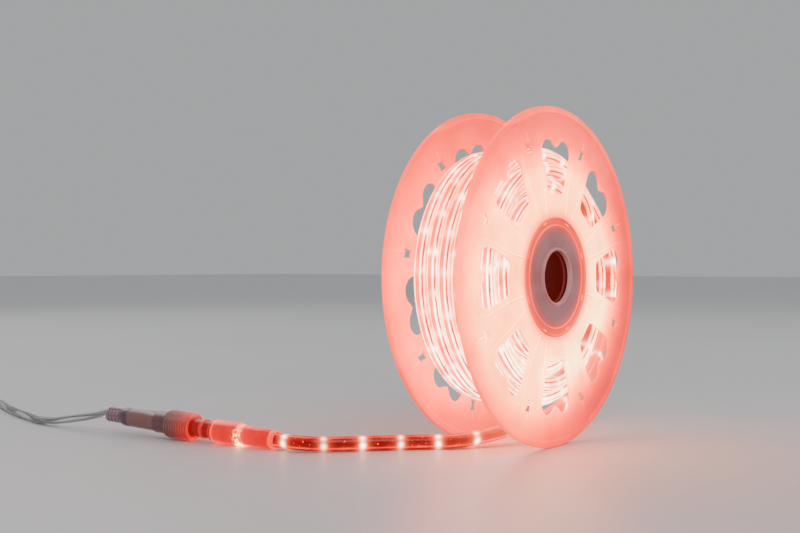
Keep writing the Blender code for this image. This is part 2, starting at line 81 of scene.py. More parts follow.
def lit(red: float, rest: float, blue: float = 0.30) -> Colour:
    """Share of the brightest glow.

    Args:
        red: Red light that leaves the surface.
        rest: Green light that leaves it.
        blue: Blue light as a share of the green.

    Returns:
        The colour, for a strength of BRIGHT.
    """
    return (red / BRIGHT, rest / BRIGHT, blue * rest / BRIGHT)


def glow_stops(*rows: tuple[float, ...]) -> Stops:
    """Stops of a glow: a place, then what lit takes, in each row."""
    return tuple((row[0], lit(*row[1:])) for row in rows)


def declare(piece: Piece, slot: str, *nodes: str) -> None:
    """Put a piece on the root and hide the nodes that it stands for.

    Args:
        piece: The piece.
        slot: Not used.
        nodes: The nodes that it stands for, if any.
    """
    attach(piece, "root")
    if nodes:
        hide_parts(*nodes)


class NodeMaker:
    """Adds nodes to a tree and sets or links their inputs."""

    def __init__(self, tree: bpy.types.NodeTree) -> None:
        """Take the tree that gets the nodes."""
        self.tree = tree

    def fill(self, node: bpy.types.Node, values: dict) -> None:
        """Set or link a node's inputs.

        Args:
            node: The node.
            values: A number, colour or socket for each input's name or number.
        """
        for key, value in values.items():
            socket = node.inputs[key]
            if isinstance(value, Socket):
                self.tree.links.new(value, socket)
            elif isinstance(value, tuple) and len(value) == 3 and socket.type == "RGBA":
                socket.default_value = (*value, 1.0)
            else:
                socket.default_value = value

    def add(self, kind: str, inputs: dict | None = None, **settings: object) -> bpy.types.Node:
        """Add a node.

        Args:
            kind: The node's type.
            inputs: A value or socket for each input.
            settings: The node's own settings.

        Returns:
            The node.
        """
        node = self.tree.nodes.new(kind)
        for key, value in settings.items():
            setattr(node, key, value)
        self.fill(node, inputs or {})
        return node

    def maths(self, operation: str, first: object, second: object = 0.0, third: object = 0.0) -> Socket:
        """Add a Math node.

        Args:
            operation: The node's operation.
            first: The first value or socket.
            second: The second value or socket.
            third: The third value or socket.

        Returns:
            The result's socket.
        """
        return self.add("ShaderNodeMath", {0: first, 1: second, 2: third}, operation=operation).outputs[0]

    def times(self, first: object, *others: object) -> Socket:
        """Product of two or more values."""
        for other in others:
            first = self.maths("MULTIPLY", first, other)
        return first

    def vector(self, x: object = 0.0, y: object = 0.0, z: object = 0.0) -> Socket:
        """Vector of three values or sockets."""
        return self.add("ShaderNodeCombineXYZ", {"X": x, "Y": y, "Z": z}).outputs[0]


class Shader(NodeMaker):
    """A Principled material whose nodes are added one at a time."""

    # Direction from which the painted side light and shade come.
    light_side = (-0.55, -0.45, 0.70)
    facing_share = 0.45
    peak_base = 2.718

    def __init__(self, name: str) -> None:
        """Start the material of a finish."""
        self.material = bpy.data.materials.new(name)
        self.material.use_nodes = True
        super().__init__(self.material.node_tree)

    def done(self, values: dict, relief: Socket, depth: float, strength: float) -> Material:
        """Fill the surface's sockets and give it a fine relief.

        Args:
            values: A number, colour or socket for each socket of the surface.
            relief: The relief from 0 to 1.
            depth: Its depth in metres.
            strength: Share of it that is used.

        Returns:
            The material.
        """
        bump = self.add("ShaderNodeBump", {"Height": relief, "Distance": depth, "Strength": strength})
        self.fill(self.tree.nodes["Principled BSDF"], {**values, "Normal": bump.outputs[0]})
        return self.material

    def clamped(self, value: Socket) -> Socket:
        """Keep a value between 0 and 1."""
        return self.maths("MINIMUM", self.maths("MAXIMUM", value, 0.0), 1.0)

    def past(self, value: Socket, edge: float, slope: float) -> Socket:
        """Rise from 0 to 1 where a value passes an edge.

        Args:
            value: The value.
            edge: Where the rise begins.
            slope: How steep it is, below 0 for a rise towards smaller values.

        Returns:
            The rise's socket.
        """
        return self.clamped(self.maths("MULTIPLY_ADD", value, slope, -slope * edge))

    def band(self, value: Socket, centre: float, half_width: float) -> Socket:
        """A soft peak of 1 about a value.

        Args:
            value: The value.
            centre: Where the peak is.
            half_width: Where it has fallen to about a third.

        Returns:
            The peak's socket.
        """
        offset = self.maths("DIVIDE", self.maths("SUBTRACT", value, centre), half_width)
        return self.maths("POWER", self.peak_base, self.times(offset, offset, -1.0))

    def ramp(self, factor: Socket, stops: Stops) -> Socket:
        """Colour a value from 0 to 1.

        Args:
            factor: The value.
            stops: Place and colour of each stop.

        Returns:
            The colour's socket.
        """
        node = self.add("ShaderNodeValToRGB", {"Fac": factor})
        elements = node.color_ramp.elements
        for place, colour in stops[1:-1]:
            elements.new(place).color = (*colour, 1.0)
        for index in (0, -1):
            elements[index].position = stops[index][0]
            elements[index].color = (*stops[index][1], 1.0)
        return node.outputs["Color"]

    def to_white(self, factor: Socket, low: float, colour: Colour, high: float) -> Socket:
        """Colour a value up to its low end, and go over to white at its high end."""
        return self.ramp(factor, ((low, colour), (high, WHITE)))

    def mix(self, factor: object, first: object, second: object, blend: str = "MIX") -> Socket:
        """Mix two colours.

        Args:
            factor: Share of the second colour.
            first: The first colour or socket.
            second: The second colour or socket.
            blend: The node's blend type.

        Returns:
            The colour's socket.
        """
        node = self.add("ShaderNodeMix", data_type="RGBA", blend_type=blend)
        self.fill(node, {0: factor, 6: first, 7: second})
        return node.outputs[2]

    def tinted(self, share: object, colour: Socket, tint: object) -> Socket:
        """Multiply a share of a colour by a tint."""
        return self.mix(share, colour, tint, "MULTIPLY")

    def noise(self, scale: float, detail: float, vector: Socket | None = None,
              roughness: float = 0.5) -> Socket:
        """Add fractal noise.

        Args:
            scale: Its scale, in waves a metre.
            detail: Its octaves.
            vector: Coordinates, or None for the object's own.
            roughness: Share of each finer octave.

        Returns:
            The value's socket.
        """
        where = vector if vector is not None else self.place()
        return self.add("ShaderNodeTexNoise", {"Vector": where, "Scale": scale, "Detail": detail,
                                               "Roughness": roughness}).outputs[0]

    def place(self) -> Socket:
        """Coordinates of the object, which are those of the part."""
        return self.add("ShaderNodeTexCoord").outputs["Object"]

    def parts(self, vector: Socket) -> list[Socket]:
        """X, Y and Z of a vector."""
        return list(self.add("ShaderNodeSeparateXYZ", {0: vector}).outputs)

    def tube_place(self) -> tuple[Socket, Socket]:
        """Distance along a cord and angle round it, which TubeMaker keeps on its mesh.

        Returns:
            The two sockets.
        """
        along = self.add("ShaderNodeAttribute", attribute_name="along").outputs["Fac"]
        around = self.add("ShaderNodeAttribute", attribute_name="around").outputs["Vector"]
        x, y, _ = self.parts(around)
        return along, self.maths("ARCTAN2", y, x)

    def painted_side_light(self, amount: float) -> Socket:
        """Factor of painted light and shade: more glow on sides that face up and to the left, less on sides
        turned away.

        Args:
            amount: How much it changes.

        Returns:
            A factor that is 1 on a side that faces the near flange's way.
        """
        normal = self.add("ShaderNodeNewGeometry").outputs["Normal"]
        facing = self.add("ShaderNodeVectorMath", {0: normal, 1: self.light_side}, operation="DOT_PRODUCT")
        return self.maths("MULTIPLY_ADD", facing.outputs["Value"], amount, 1 - self.facing_share * amount)


@dataclass(frozen=True)
class FlangePlastic:
    """Frosted plastic that glows where the lit winding lies behind it."""

    name: str
    glow: Stops
    # lift: painted extra glow, as on the lighter raised beads; relief: strength of the painted side light and
    # shade.
    lift: float = 1.0
    relief: float = 0.35
    tips: float = 0.0
    tip_depth: float = 0.0362
    lip_depth: float = 0.0366
    strip_depth: float = 0.0330
    bore_share: float = 0.1562

    def material(self) -> Material:
        """Make the material.

        Returns:
            The material, its glow falling off from the winding to the rim.
        """
        shader = Shader(self.name)
        across, depth, height = shader.parts(shader.place())
        up = shader.maths("SUBTRACT", height, AXIS_HEIGHT)
        radius = shader.maths("SQRT", shader.maths("ADD", shader.times(across, across), shader.times(up, up)))
        share = shader.maths("DIVIDE", radius, FLANGE_RADIUS)
        low_left = shader.clamped(shader.maths("MULTIPLY_ADD", up, -3.5, shader.times(across, -7.5)))
        shift = shader.times(low_left, shader.past(share, 0.42, 4.0), -0.24)
        colour = shader.ramp(shader.maths("ADD", share, shift), self.glow)

        to_low_right = shader.maths("SUBTRACT", across, up)
        dimmed = shader.times(shader.past(to_low_right, -0.38 / 2.6, 2.6), shader.past(share, 0.72, 6.0))
        colour = shader.tinted(dimmed, colour, (0.62, 0.15, 0.13))
        brightened = shader.times(shader.band(share, 0.53, 0.14), shader.past(to_low_right, 0.0, 8.0))
        colour = shader.tinted(brightened, colour, (1.0, 1.9, 2.4))
        # Painted bright and dim patches in the glow; the same noise gives the base colour a random tone
        # below.
        cloud = shader.noise(30.0, 4.0)
        colour = shader.tinted(1.0, colour, shader.to_white(cloud, 0.32, (0.80, 0.58, 0.55), 0.68))
        # Painted light and shade: sides that face up and to the left glow stronger, sides turned away weaker
        # and redder.
        painted_shading = shader.painted_side_light(self.relief)
        colour = shader.tinted(shader.past(painted_shading, 1.0, -2.2), colour, (0.62, 0.16, 0.14))

        depth = shader.maths("ABSOLUTE", depth)
        tip = shader.times(shader.past(depth, self.tip_depth, 4000.0), self.tips)
        colour = shader.mix(tip, colour, lit(4.5, 0.35))
        # Painted shade: deep in the bore, past the lip, the base colour is near black and the glow dim, save
        # for one lighter strip.
        in_bore = shader.past(share, self.bore_share, -900.0)
        inside = shader.times(in_bore, shader.past(depth, self.lip_depth, -3000.0))
        strip = shader.band(depth, self.strip_depth, 0.0011)
        bore_glow = shader.mix(strip, lit(0.07, 0.003), lit(0.20, 0.030, 1.1))
        base = shader.ramp(cloud, ((0.3, (0.16, 0.02, 0.012)), (0.7, (0.22, 0.04, 0.025))))
        return shader.done({
            "Base Color": shader.mix(inside, base, (0.03, 0.002, 0.002)),
            "Emission Color": shader.mix(inside, colour, bore_glow),
            "Emission Strength": shader.times(painted_shading, BRIGHT * self.lift),
            "Roughness": 0.34, "Specular IOR Level": 0.35, "Coat Weight": 0.15, "Coat Roughness": 0.18,
        }, shader.noise(900.0, 4.0), 0.0001, 0.3)


@dataclass(frozen=True)
class LitRope:
    """Clear sheath over a lit core: glowing stripes with painted sheath highlights, and a bright spot at
    every light.
    """

    name: str
    stripes: Stops
    dull: Colour
    spot_width: float
    spot_floor: float
    # Strength of the painted light that makes the lower turns whiter.
    whiter: float = 0.0
    # Strength of the painted light that makes the free rope paler toward the reel.
    reel_share: float = 0.0
    halo_share: float = 0.34

    def material(self) -> Material:
        """Make the material, which reads the tube's along and around attributes.

        Returns:
            The material.
        """
        shader = Shader(self.name)
        along, angle = shader.tube_place()
        off_top = shader.maths("ABSOLUTE", angle)
        lane = shader.vector(shader.times(along, 90.0), shader.times(angle, 2.6))
        ripple = shader.noise(1.0, 3.0, lane, 0.6)
        swayed = shader.maths("ADD", off_top, shader.maths("MULTIPLY_ADD", ripple, 0.24, -0.12))
        colour = shader.ramp(shader.maths("DIVIDE", swayed, math.pi), self.stripes)
        patches = shader.to_white(shader.noise(48.0, 3.0), 0.36, self.dull, 0.64)
        colour = shader.tinted(1.0, colour, patches)

        # Painted light: the lower turns and the near end at the left are drawn whiter.
        x, y, z = shader.parts(shader.place())
        near_end = shader.past(y, -0.02, -60.0)
        left = shader.past(x, 0.22 / 3.5, -3.5)
        low = shader.clamped(shader.maths("MULTIPLY_ADD", near_end, left, shader.past(z, 0.21, -5.0)))
        colour = shader.tinted(shader.times(low, self.whiter), colour, (1.2, 2.6, 3.6))
        # Painted light: toward the reel the free rope is drawn paler and brighter.
        near_reel = shader.past(x, -0.075, 10.0)
        colour = shader.tinted(shader.times(near_reel, self.reel_share), colour, (3.0, 9.0, 12.0))
        colour = shader.mix(shader.times(near_reel, 0.7 * self.reel_share), colour, lit(7.0, 0.7))

        wave = shader.maths("WRAP", along, LIGHT_PITCH / 2, -LIGHT_PITCH / 2)
        varied = shader.to_white(shader.noise(22.0, 1.0), 0.38, (0.25, 0.25, 0.25), 0.60)
        halo = shader.times(shader.band(wave, 0.0, 2.5 * self.spot_width), self.halo_share, varied)
        colour = shader.mix(halo, colour, lit(6.5, 0.5))
        fine = shader.vector(shader.times(along, 420.0), shader.times(angle, 3.0))
        glints = shader.to_white(shader.noise(1.0, 3.0, fine, 0.7), 0.64, BLACK, 0.72)
        colour = shader.mix(shader.times(glints, 0.5), colour, lit(7.0, 1.6))
        low_spot = shader.times(shader.band(off_top, 1.80, 0.34), 0.9)
        high_spot = shader.times(shader.band(off_top, 0.72, 0.22), 0.55)
        across = shader.maths("ADD", shader.maths("ADD", low_spot, high_spot), self.spot_floor)
        spot = shader.times(shader.band(wave, 0.0, self.spot_width), shader.clamped(across), varied)
        colour = shader.mix(spot, colour, lit(10.0, 7.0, 0.65))
        # The glow's strength carries a mild painted side light and shade.
        return shader.done({
            "Base Color": (0.10, 0.004, 0.003), "Emission Color": colour,
            "Emission Strength": shader.times(shader.painted_side_light(0.18), BRIGHT),
            "Roughness": 0.16, "Specular IOR Level": 0.25, "Coat Weight": 0.10, "Coat Roughness": 0.06,
        }, ripple, 0.0002, 0.25)


@dataclass(frozen=True)
class ConnectorPlastic:
    """Clear moulded plastic whose red glow fades with the distance from the rope."""

    name: str
    start: Vector
    direction: Vector
    glow: Stops
    tint: Stops
    transmission: float
    radius: float
    # Place, pitch and strength of the painted shade in the nut's grooves.
    ridge_start: float = 0.0
    ridge_pitch: float = 1.0
    ridge_depth: float = 0.0
    glints_at: float = -1.0
    edge_light: float = 0.8
    reach: float = 0.20

    def material(self) -> Material:
        """Make the material.

        Returns:
            The material.
        """
        shader = Shader(self.name)
        offset = shader.add("ShaderNodeVectorMath", {0: shader.place(), 1: tuple(self.start)},
                            operation="SUBTRACT").outputs[0]
        far = shader.add("ShaderNodeVectorMath", {0: offset, 1: tuple(self.direction)},
                         operation="DOT_PRODUCT").outputs["Value"]
        share = shader.maths("DIVIDE", far, self.reach)
        height = shader.maths("MULTIPLY_ADD", far, -self.direction.z, shader.parts(offset)[2])
        # Painted light: near the top and bottom of the connector the glow is stronger and the base colour
        # paler.
        edge = shader.past(shader.maths("ABSOLUTE", height), 2.1 / 3.2 * self.radius, 3.2 / self.radius)
        # Painted light and shade on the nut: ridge tops keep the full glow and tint, the grooves between them
        # are darker.
        phase = FULL_TURN / self.ridge_pitch
        wave = shader.maths("COSINE", shader.maths("MULTIPLY_ADD", far, phase, -phase * self.ridge_start))
        ridges = shader.maths("MULTIPLY_ADD", wave, -0.5 * self.ridge_depth, 1 - 0.5 * self.ridge_depth)

        cloud = shader.to_white(shader.noise(140.0, 4.0), 0.30, (0.55, 0.30, 0.30), 0.72)
        colour = shader.tinted(0.5, shader.ramp(share, self.glow), cloud)
        specks = shader.to_white(shader.noise(430.0, 3.0), 0.47, BLACK, 0.56)
        lower = shader.past(height, 0.01, -60.0)
        glints = shader.times(shader.band(far, self.glints_at, 0.0030), lower, specks)
        power = shader.times(ridges, shader.maths("MULTIPLY_ADD", edge, self.edge_light, 1.0), BRIGHT)
        tint = shader.tinted(1.0, shader.ramp(share, self.tint), ridges)
        return shader.done({
            "Base Color": shader.mix(shader.times(edge, 0.35), tint, (0.75, 0.55, 0.55)),
            "Emission Color": shader.mix(glints, colour, lit(8.0, 5.0)), "Emission Strength": power,
            "Roughness": 0.22, "Specular IOR Level": 0.4, "Transmission Weight": self.transmission,
            "IOR": 1.45, "Coat Weight": 0.25, "Coat Roughness": 0.08,
        }, shader.noise(700.0, 3.0), 0.0001, 0.3)


@dataclass(frozen=True)
class StrandedWire:
    """Silvery wire of thin strands that wind along it."""

    name: str

    def material(self) -> Material:
        """Make the material, which reads the tube's along and around attributes.

        Returns:
            The material.
        """
        shader = Shader(self.name)
        along, angle = shader.tube_place()
        lay = shader.maths("ADD", shader.times(angle, 7.0), shader.times(along, 1500.0))
        strands = shader.maths("MULTIPLY_ADD", shader.maths("SINE", lay), 0.5, 0.5)
        # Painted shade and highlight: dark in the grooves between strands, bright on their tops.
        silver = shader.ramp(strands, ((0.0, (0.10, 0.10, 0.10)), (0.5, (0.45, 0.44, 0.43)),
                                       (1.0, (0.92, 0.91, 0.90))))
        return shader.done({"Base Color": silver, "Metallic": 0.9, "Roughness": 0.28}, strands, 0.00015, 0.5)


@dataclass(frozen=True)
class CloudedFinish:
    """Plain finish whose colour drifts between two tones, with a fine grain."""

    name: str
    dark: Colour
    pale: Colour
    cloud: tuple[float, float]
    grain: tuple[float, float, float, float]
    surface: dict[str, float]

    def material(self) -> Material:
        """Make the material.

        Returns:
            The material.
        """
        shader = Shader(self.name)
        scale, detail, depth, strength = self.grain
        tone = shader.ramp(shader.noise(*self.cloud), ((0.3, self.dark), (0.7, self.pale)))
        return shader.done({"Base Color": tone, **self.surface}, shader.noise(scale, detail), depth, strength)


class GeometryTree(NodeMaker):
    """A Geometry Nodes tree with named inputs that is turned into a plain mesh when it is used."""

    def __init__(self, name: str, sizes: dict[str, float]) -> None:
        """Start a tree.

        Args:
            name: The tree's name.
            sizes: Its named inputs and their usual values.
        """
        super().__init__(bpy.data.node_groups.new(name, "GeometryNodeTree"))
        interface = self.tree.interface
        interface.new_socket("Geometry", in_out="INPUT", socket_type="NodeSocketGeometry")
        self.identifiers: dict[str, str] = {}
        for label, value in sizes.items():
            kind = "NodeSocketInt" if isinstance(value, int) else "NodeSocketFloat"
            socket = interface.new_socket(label, in_out="INPUT", socket_type=kind)
            socket.default_value = value
            self.identifiers[label] = socket.identifier
        interface.new_socket("Geometry", in_out="OUTPUT", socket_type="NodeSocketGeometry")
        self.source = self.tree.nodes.new("NodeGroupInput")
        self.target = self.tree.nodes.new("NodeGroupOutput")

    def size(self, label: str) -> Socket:
        """Socket of a named input."""
        return self.source.outputs[label]

    def named(self, label: str, kind: str) -> Socket:
        """Value of a named attribute of a kind."""
        node = self.add("GeometryNodeInputNamedAttribute", {"Name": label}, data_type=kind)
        return node.outputs["Attribute"]

    def stored(self, geometry: Socket, label: str, value: Socket, kind: str) -> Socket:
        """Keep a value on the points of a geometry.

        Args:
            geometry: The geometry.
            label: The attribute's name.
            value: The value.
            kind: Its data type.

        Returns:
            The geometry that has it.
        """
        inputs = {"Geometry": geometry, "Name": label, "Value": value}
        return self.add("GeometryNodeStoreNamedAttribute", inputs, data_type=kind, domain="POINT").outputs[0]

    def copies(self, shape: Socket, count: Socket, spot: Socket, turn: Socket) -> Socket:
        """Copies of a shape on points.

        Args:
            shape: What is repeated.
            count: How many copies.
            spot: Place of each.
            turn: Turn of each.

        Returns:
            The copies.
        """
        spots = self.add("GeometryNodePoints", {"Count": count, "Position": spot})
        return self.add("GeometryNodeInstanceOnPoints", {
            "Points": spots.outputs[0], "Instance": shape, "Rotation": turn}).outputs[0]

    def end(self, geometry: Socket, material: Material) -> None:
        """Close the tree with real instances and a material.

        Args:
            geometry: What the tree has made.
            material: Its finish.
        """
        real = self.add("GeometryNodeRealizeInstances", {"Geometry": geometry})
        painted = self.add("GeometryNodeSetMaterial", {"Geometry": real.outputs[0], "Material": material})
        self.tree.links.new(painted.outputs[0], self.target.inputs[0])

    def build(self, name: str, guide: bpy.types.Mesh, sizes: dict[str, float]) -> Piece:
        """Run the tree on a guide mesh and keep the result as a plain mesh.

        Args:
            name: The new piece's name.
            guide: The mesh that the tree starts from.
            sizes: Values of its named inputs.

        Returns:
            The piece.
        """
        carrier = link_piece(name + "_guide", guide)
        modifier = carrier.modifiers.new("Shape", "NODES")
        modifier.node_group = self.tree
        for label, value in sizes.items():
            modifier[self.identifiers[label]] = value
        depsgraph = bpy.context.evaluated_depsgraph_get()
        mesh = bpy.data.meshes.new_from_object(
            carrier.evaluated_get(depsgraph), preserve_all_data_layers=True, depsgraph=depsgraph)
        carrier.modifiers.clear()
        bpy.data.objects.remove(carrier)
        mesh.name = name
        return link_piece(name, mesh)


class GuideLines:
    """Lines that a tree follows, with a value at each of their points."""

    def __init__(self) -> None:
        """Start with no lines."""
        self.points: list[Vector] = []
        self.values: list = []
        self.edges: list[tuple[int, int]] = []

    def add(self, line: list[Vector], values: list, closed: bool = False) -> None:
        """Add a line.

        Args:
            line: Its points.
            values: A number or vector for each of them.
            closed: Whether its end is joined to its start.
        """
        first = len(self.points)
        self.points += line
        self.values += values
        self.edges += [(first + i, first + i + 1) for i in range(len(line) - 1)]
        if closed:
            self.edges.append((len(self.points) - 1, first))

    def mesh(self, name: str, label: str) -> bpy.types.Mesh:
        """Turn the lines into a mesh of edges.

        Args:
            name: The mesh's name.
            label: Name of the attribute that holds the values.

        Returns:
            The mesh.
        """
        mesh = bpy.data.meshes.new(name)
        mesh.from_pydata([tuple(point) for point in self.points], self.edges, [])
        is_vector = isinstance(self.values[0], Vector)
        layer = mesh.attributes.new(label, "FLOAT_VECTOR" if is_vector else "FLOAT", "POINT")
        flat = np.array([tuple(value) if is_vector else value for value in self.values], np.float32)
        layer.data.foreach_set("vector" if is_vector else "value", flat.ravel())
        return mesh


def link_piece(name: str, mesh: bpy.types.ID) -> Piece:
    """Put an object with a mesh, a lamp or a camera into the scene.

    Args:
        name: The object's name.
        mesh: Its data.

    Returns:
        The object.
    """
    piece = bpy.data.objects.new(name, mesh)
    bpy.context.scene.collection.objects.link(piece)
    return piece


def closed_piece(name: str, bm: bmesh.types.BMesh, material: Material, sharp_degrees: float = 35.0) -> Piece:
    """Turn a closed bmesh into a smooth piece with outward faces.

    Args:
        name: The piece's name.
        bm: The bmesh, which is used up.
        material: Its finish.
        sharp_degrees: Edges above this angle stay sharp.

    Returns:
        The piece.
    """
    bmesh.ops.recalc_face_normals(bm, faces=bm.faces)
    mesh = bpy.data.meshes.new(name)
    bm.to_mesh(mesh)
    bm.free()
    mesh.materials.append(material)
    mesh.shade_smooth()
    mesh.set_sharp_from_angle(angle=math.radians(sharp_degrees))
    return link_piece(name, mesh)


def ring(bm: bmesh.types.BMesh, radius: float, depth: float, segments: int) -> list:
    """Ring of vertices about the Y axis.

    Args:
        bm: The bmesh.
        radius: The ring's radius.
        depth: Its place along Y.
        segments: Its vertices.

    Returns:
        The vertices.
    """
    step = FULL_TURN / segments
    return [bm.verts.new((radius * math.cos(i * step), depth, radius * math.sin(i * step)))
            for i in range(segments)]


def loft(bm: bmesh.types.BMesh, loops: list[list], capped: bool = False) -> None:
    """Join loops of as many vertices one after another with quads.

    Args:
        bm: The bmesh.
        loops: The loops.
        capped: Whether the first and the last are filled.
    """
    for first, second in zip(loops, loops[1:]):
        for i, vert in enumerate(first):
            j = (i + 1) % len(first)
            bm.faces.new((vert, first[j], second[j], second[i]))
    if capped:
        bm.faces.new(loops[0])
        bm.faces.new(loops[-1])


def turned_piece(name: str, profile: list[Point2], material: Material, place: Matrix,
                 segments: int = 64, closed: bool = False) -> Piece:
    """Turn a profile of (radius, depth) about Y and put it in place.

    Args:
        name: The piece's name.
        profile: The profile's points.
        material: Its finish.
        place: Where the turned shape goes.
        segments: Steps of the turn.
        closed: Whether the profile is a closed loop; otherwise its ends are discs.

    Returns:
        The piece.
    """
    bm = bmesh.new()
    loops = [ring(bm, radius, depth, segments) for radius, depth in profile]
    loft(bm, loops + loops[:1] if closed else loops, not closed)
    bmesh.ops.transform(bm, matrix=place, verts=bm.verts)
    return closed_piece(name, bm, material)


def eased(share: float) -> float:
    """Smooth step from 0 to 1."""
    return share * share * (3 - 2 * share)


def smooth_path(points: list, per_span: int) -> list[Vector]:
    """Points of a smooth curve through a route.

    Args:
        points: The route's own points.
        per_span: Steps between two of them.

    Returns:
        The curve's points.
    """
    spans = [points[0]] + list(points) + [points[-1]]
    smooth: list[Vector] = []
    for i in range(len(points) - 1):
        p0, p1, p2, p3 = (Vector(spans[i + k]) for k in range(4))
        for step in range(per_span):
            t = step / per_span
            smooth.append(0.5 * (2 * p1 + (p2 - p0) * t
                                 + (2 * p0 - 5 * p1 + 4 * p2 - p3) * t * t
                                 + (3 * p1 - p0 - 3 * p2 + p3) * t ** 3))
    smooth.append(Vector(points[-1]))
    return smooth


def evenly_spaced(points: list[Vector], spacing: float) -> list[Vector]:
    """Points along a route about a spacing apart.

    Args:
        points: The route.
        spacing: The distance wanted.

    Returns:
        The points, both ends included.
    """
    lengths = [0.0]
    for a, b in zip(points, points[1:]):
        lengths.append(lengths[-1] + (b - a).length)
    count = max(2, round(lengths[-1] / spacing))
    chosen: list[Vector] = []
    index = 0
    for i in range(count + 1):
        target = lengths[-1] * i / count
        while index < len(points) - 2 and lengths[index + 1] < target:
            index += 1
        span = lengths[index + 1] - lengths[index]
        chosen.append(points[index].lerp(points[index + 1], (target - lengths[index]) / span))
    return chosen


def path_length(points: list[Vector]) -> float:
    """Length of a path."""
    return sum((b - a).length for a, b in zip(points, points[1:]))


class TubeMaker:
    """Makes round cords along paths, with the distance along and the place around kept on them."""

    def __init__(self, name: str, material: Material) -> None:
        """Build the tree.

        Args:
            name: The tree's name.
            material: The cord's finish.
        """
        tree = GeometryTree(name, {"Radius": 0.005, "Sides": 16, "Along start": 0.0})
        curve = tree.add("GeometryNodeMeshToCurve", {"Mesh": tree.size("Geometry")})
        framed = tree.add("GeometryNodeSetCurveNormal", {
            "Curve": curve.outputs[0], "Normal": tree.named("up", "FLOAT_VECTOR")}, mode="FREE")
        travelled = tree.add("GeometryNodeSplineParameter").outputs["Length"]
        total = tree.maths("ADD", travelled, tree.size("Along start"))
        measured = tree.stored(framed.outputs[0], "along", total, "FLOAT")
        circle = tree.add("GeometryNodeCurvePrimitiveCircle",
                          {"Resolution": tree.size("Sides"), "Radius": tree.size("Radius")})
        position = tree.add("GeometryNodeInputPosition").outputs[0]
        marked = tree.stored(circle.outputs[0], "around", position, "FLOAT_VECTOR")
        tube = tree.add("GeometryNodeCurveToMesh",
                        {"Curve": measured, "Profile Curve": marked, "Fill Caps": True})
        smooth = tree.add("GeometryNodeSetShadeSmooth", {0: tube.outputs[0]})
        tree.end(smooth.outputs[0], material)
        self.tree = tree

    def make(self, name: str, path: list[Vector], ups: list[Vector], diameter: float,
             sides: int, along_start: float = 0.0) -> Piece:
        """Make one cord.

        Args:
            name: The piece's name.
            path: Points of its middle line.
            ups: Direction at each point from which the place around it is counted.
            diameter: Its diameter.
            sides: Its sides.
            along_start: Distance along the cord at the path's start.

        Returns:
            The piece.
        """
        guide = GuideLines()
        guide.add(path, ups)
        piece = self.tree.build(name, guide.mesh(name + "_path", "up"), {
            "Radius": diameter / 2, "Sides": sides, "Along start": along_start})
        piece.data.set_sharp_from_angle(angle=math.radians(50))
        return piece


class BeadMaker:
    """Raises rounded beads along guide lines and repeats them round the reel's axis."""

    def __init__(self, name: str, material: Material) -> None:
        """Build the tree.

        Args:
            name: The tree's name.
            material: The beads' finish.
        """
        tree = GeometryTree(name, {"Copies": 8, "Depth": 0.0, "Turn": 0.0, "Sides": 8})
        curve = tree.add("GeometryNodeMeshToCurve", {"Mesh": tree.size("Geometry")})
        circle = tree.add("GeometryNodeCurvePrimitiveCircle",
                          {"Resolution": tree.size("Sides"), "Radius": 1.0})
        bead = tree.add("GeometryNodeCurveToMesh", {
            "Curve": curve.outputs[0], "Profile Curve": circle.outputs[0],
            "Scale": tree.named("width", "FLOAT"), "Fill Caps": True})
        smooth = tree.add("GeometryNodeSetShadeSmooth", {0: bead.outputs[0]})
        index = tree.add("GeometryNodeInputIndex").outputs[0]
        step = tree.maths("DIVIDE", FULL_TURN, tree.size("Copies"))
        angle = tree.maths("MULTIPLY_ADD", index, step, tree.size("Turn"))
        spot = tree.vector(0.0, tree.size("Depth"), AXIS_HEIGHT)
        copies = tree.copies(smooth.outputs[0], tree.size("Copies"), spot, tree.vector(0.0, angle))
        tree.end(copies, material)
        self.tree = tree

    def make(self, name: str, lines: GuideLines, copies: int = 1, depth: float = 0.0,
             turn: float = 0.0, sides: int = 8) -> Piece:
        """Make the beads of one part.

        Args:
            name: The piece's name.
            lines: Lines about the reel's middle, with the bead's radius at each point.
            copies: How often they stand round the axis.
            depth: Their place along Y.
            turn: Turn of the first copy.
            sides: Sides of a bead.

        Returns:
            The piece.
        """
        return self.tree.build(name, lines.mesh(name + "_lines", "width"), {
            "Copies": copies, "Depth": depth, "Turn": turn, "Sides": sides})


def arc(centre: Point2, radius: float, start: float, end: float, steps: int) -> list[Point2]:
    """Points of an arc.

    Args:
        centre: Its centre.
        radius: Its radius.
        start: First angle in degrees.
        end: Last angle in degrees.
        steps: Steps between them.

    Returns:
        The points, ends included.
    """
    angles = [math.radians(start + (end - start) * i / steps) for i in range(steps + 1)]
    return [(centre[0] + radius * math.cos(a), centre[1] + radius * math.sin(a)) for a in angles]


def mirrored(half: list[Point2]) -> list[Point2]:
    """Whole outline from its half on one side of a centre line."""
    return half + [(u, -v) for u, v in reversed(half) if abs(v) > 1e-6]


def placed(outline: list[Point2], angle: float) -> list[Point2]:
    """Turn an outline clockwise from the top.

    Args:
        outline: Points along and across a centre line.
        angle: The angle in radians.

    Returns:
        Points across and up.
    """
    s, c = math.sin(angle), math.cos(angle)
    return [(u * s + v * c, u * c - v * s) for u, v in outline]


def upright(points: list[Point2]) -> list[Vector]:
    """Points across and up, as points about the reel's middle."""
    return [Vector((x, 0, z)) for x, z in points]


def grown_outline(outline: list[Point2], distance: float) -> list[Point2]:
    """Outline moved outwards, for a lip that lies beside a hole and doesn't narrow it.

    Args:
        outline: The hole's points, in order.
        distance: How far each point moves.

    Returns:
        The points.
    """
    following = outline[1:] + outline[:1]
    area = sum(a[0] * b[1] - b[0] * a[1] for a, b in zip(outline, following))
    reach = math.copysign(distance, area)
    grown = []
    for before, point, after in zip(outline[-1:] + outline[:-1], outline, following):
        tangent = Vector((after[0] - before[0], after[1] - before[1])).normalized()
        grown.append((point[0] + reach * tangent.y, point[1] - reach * tangent.x))
    return grown


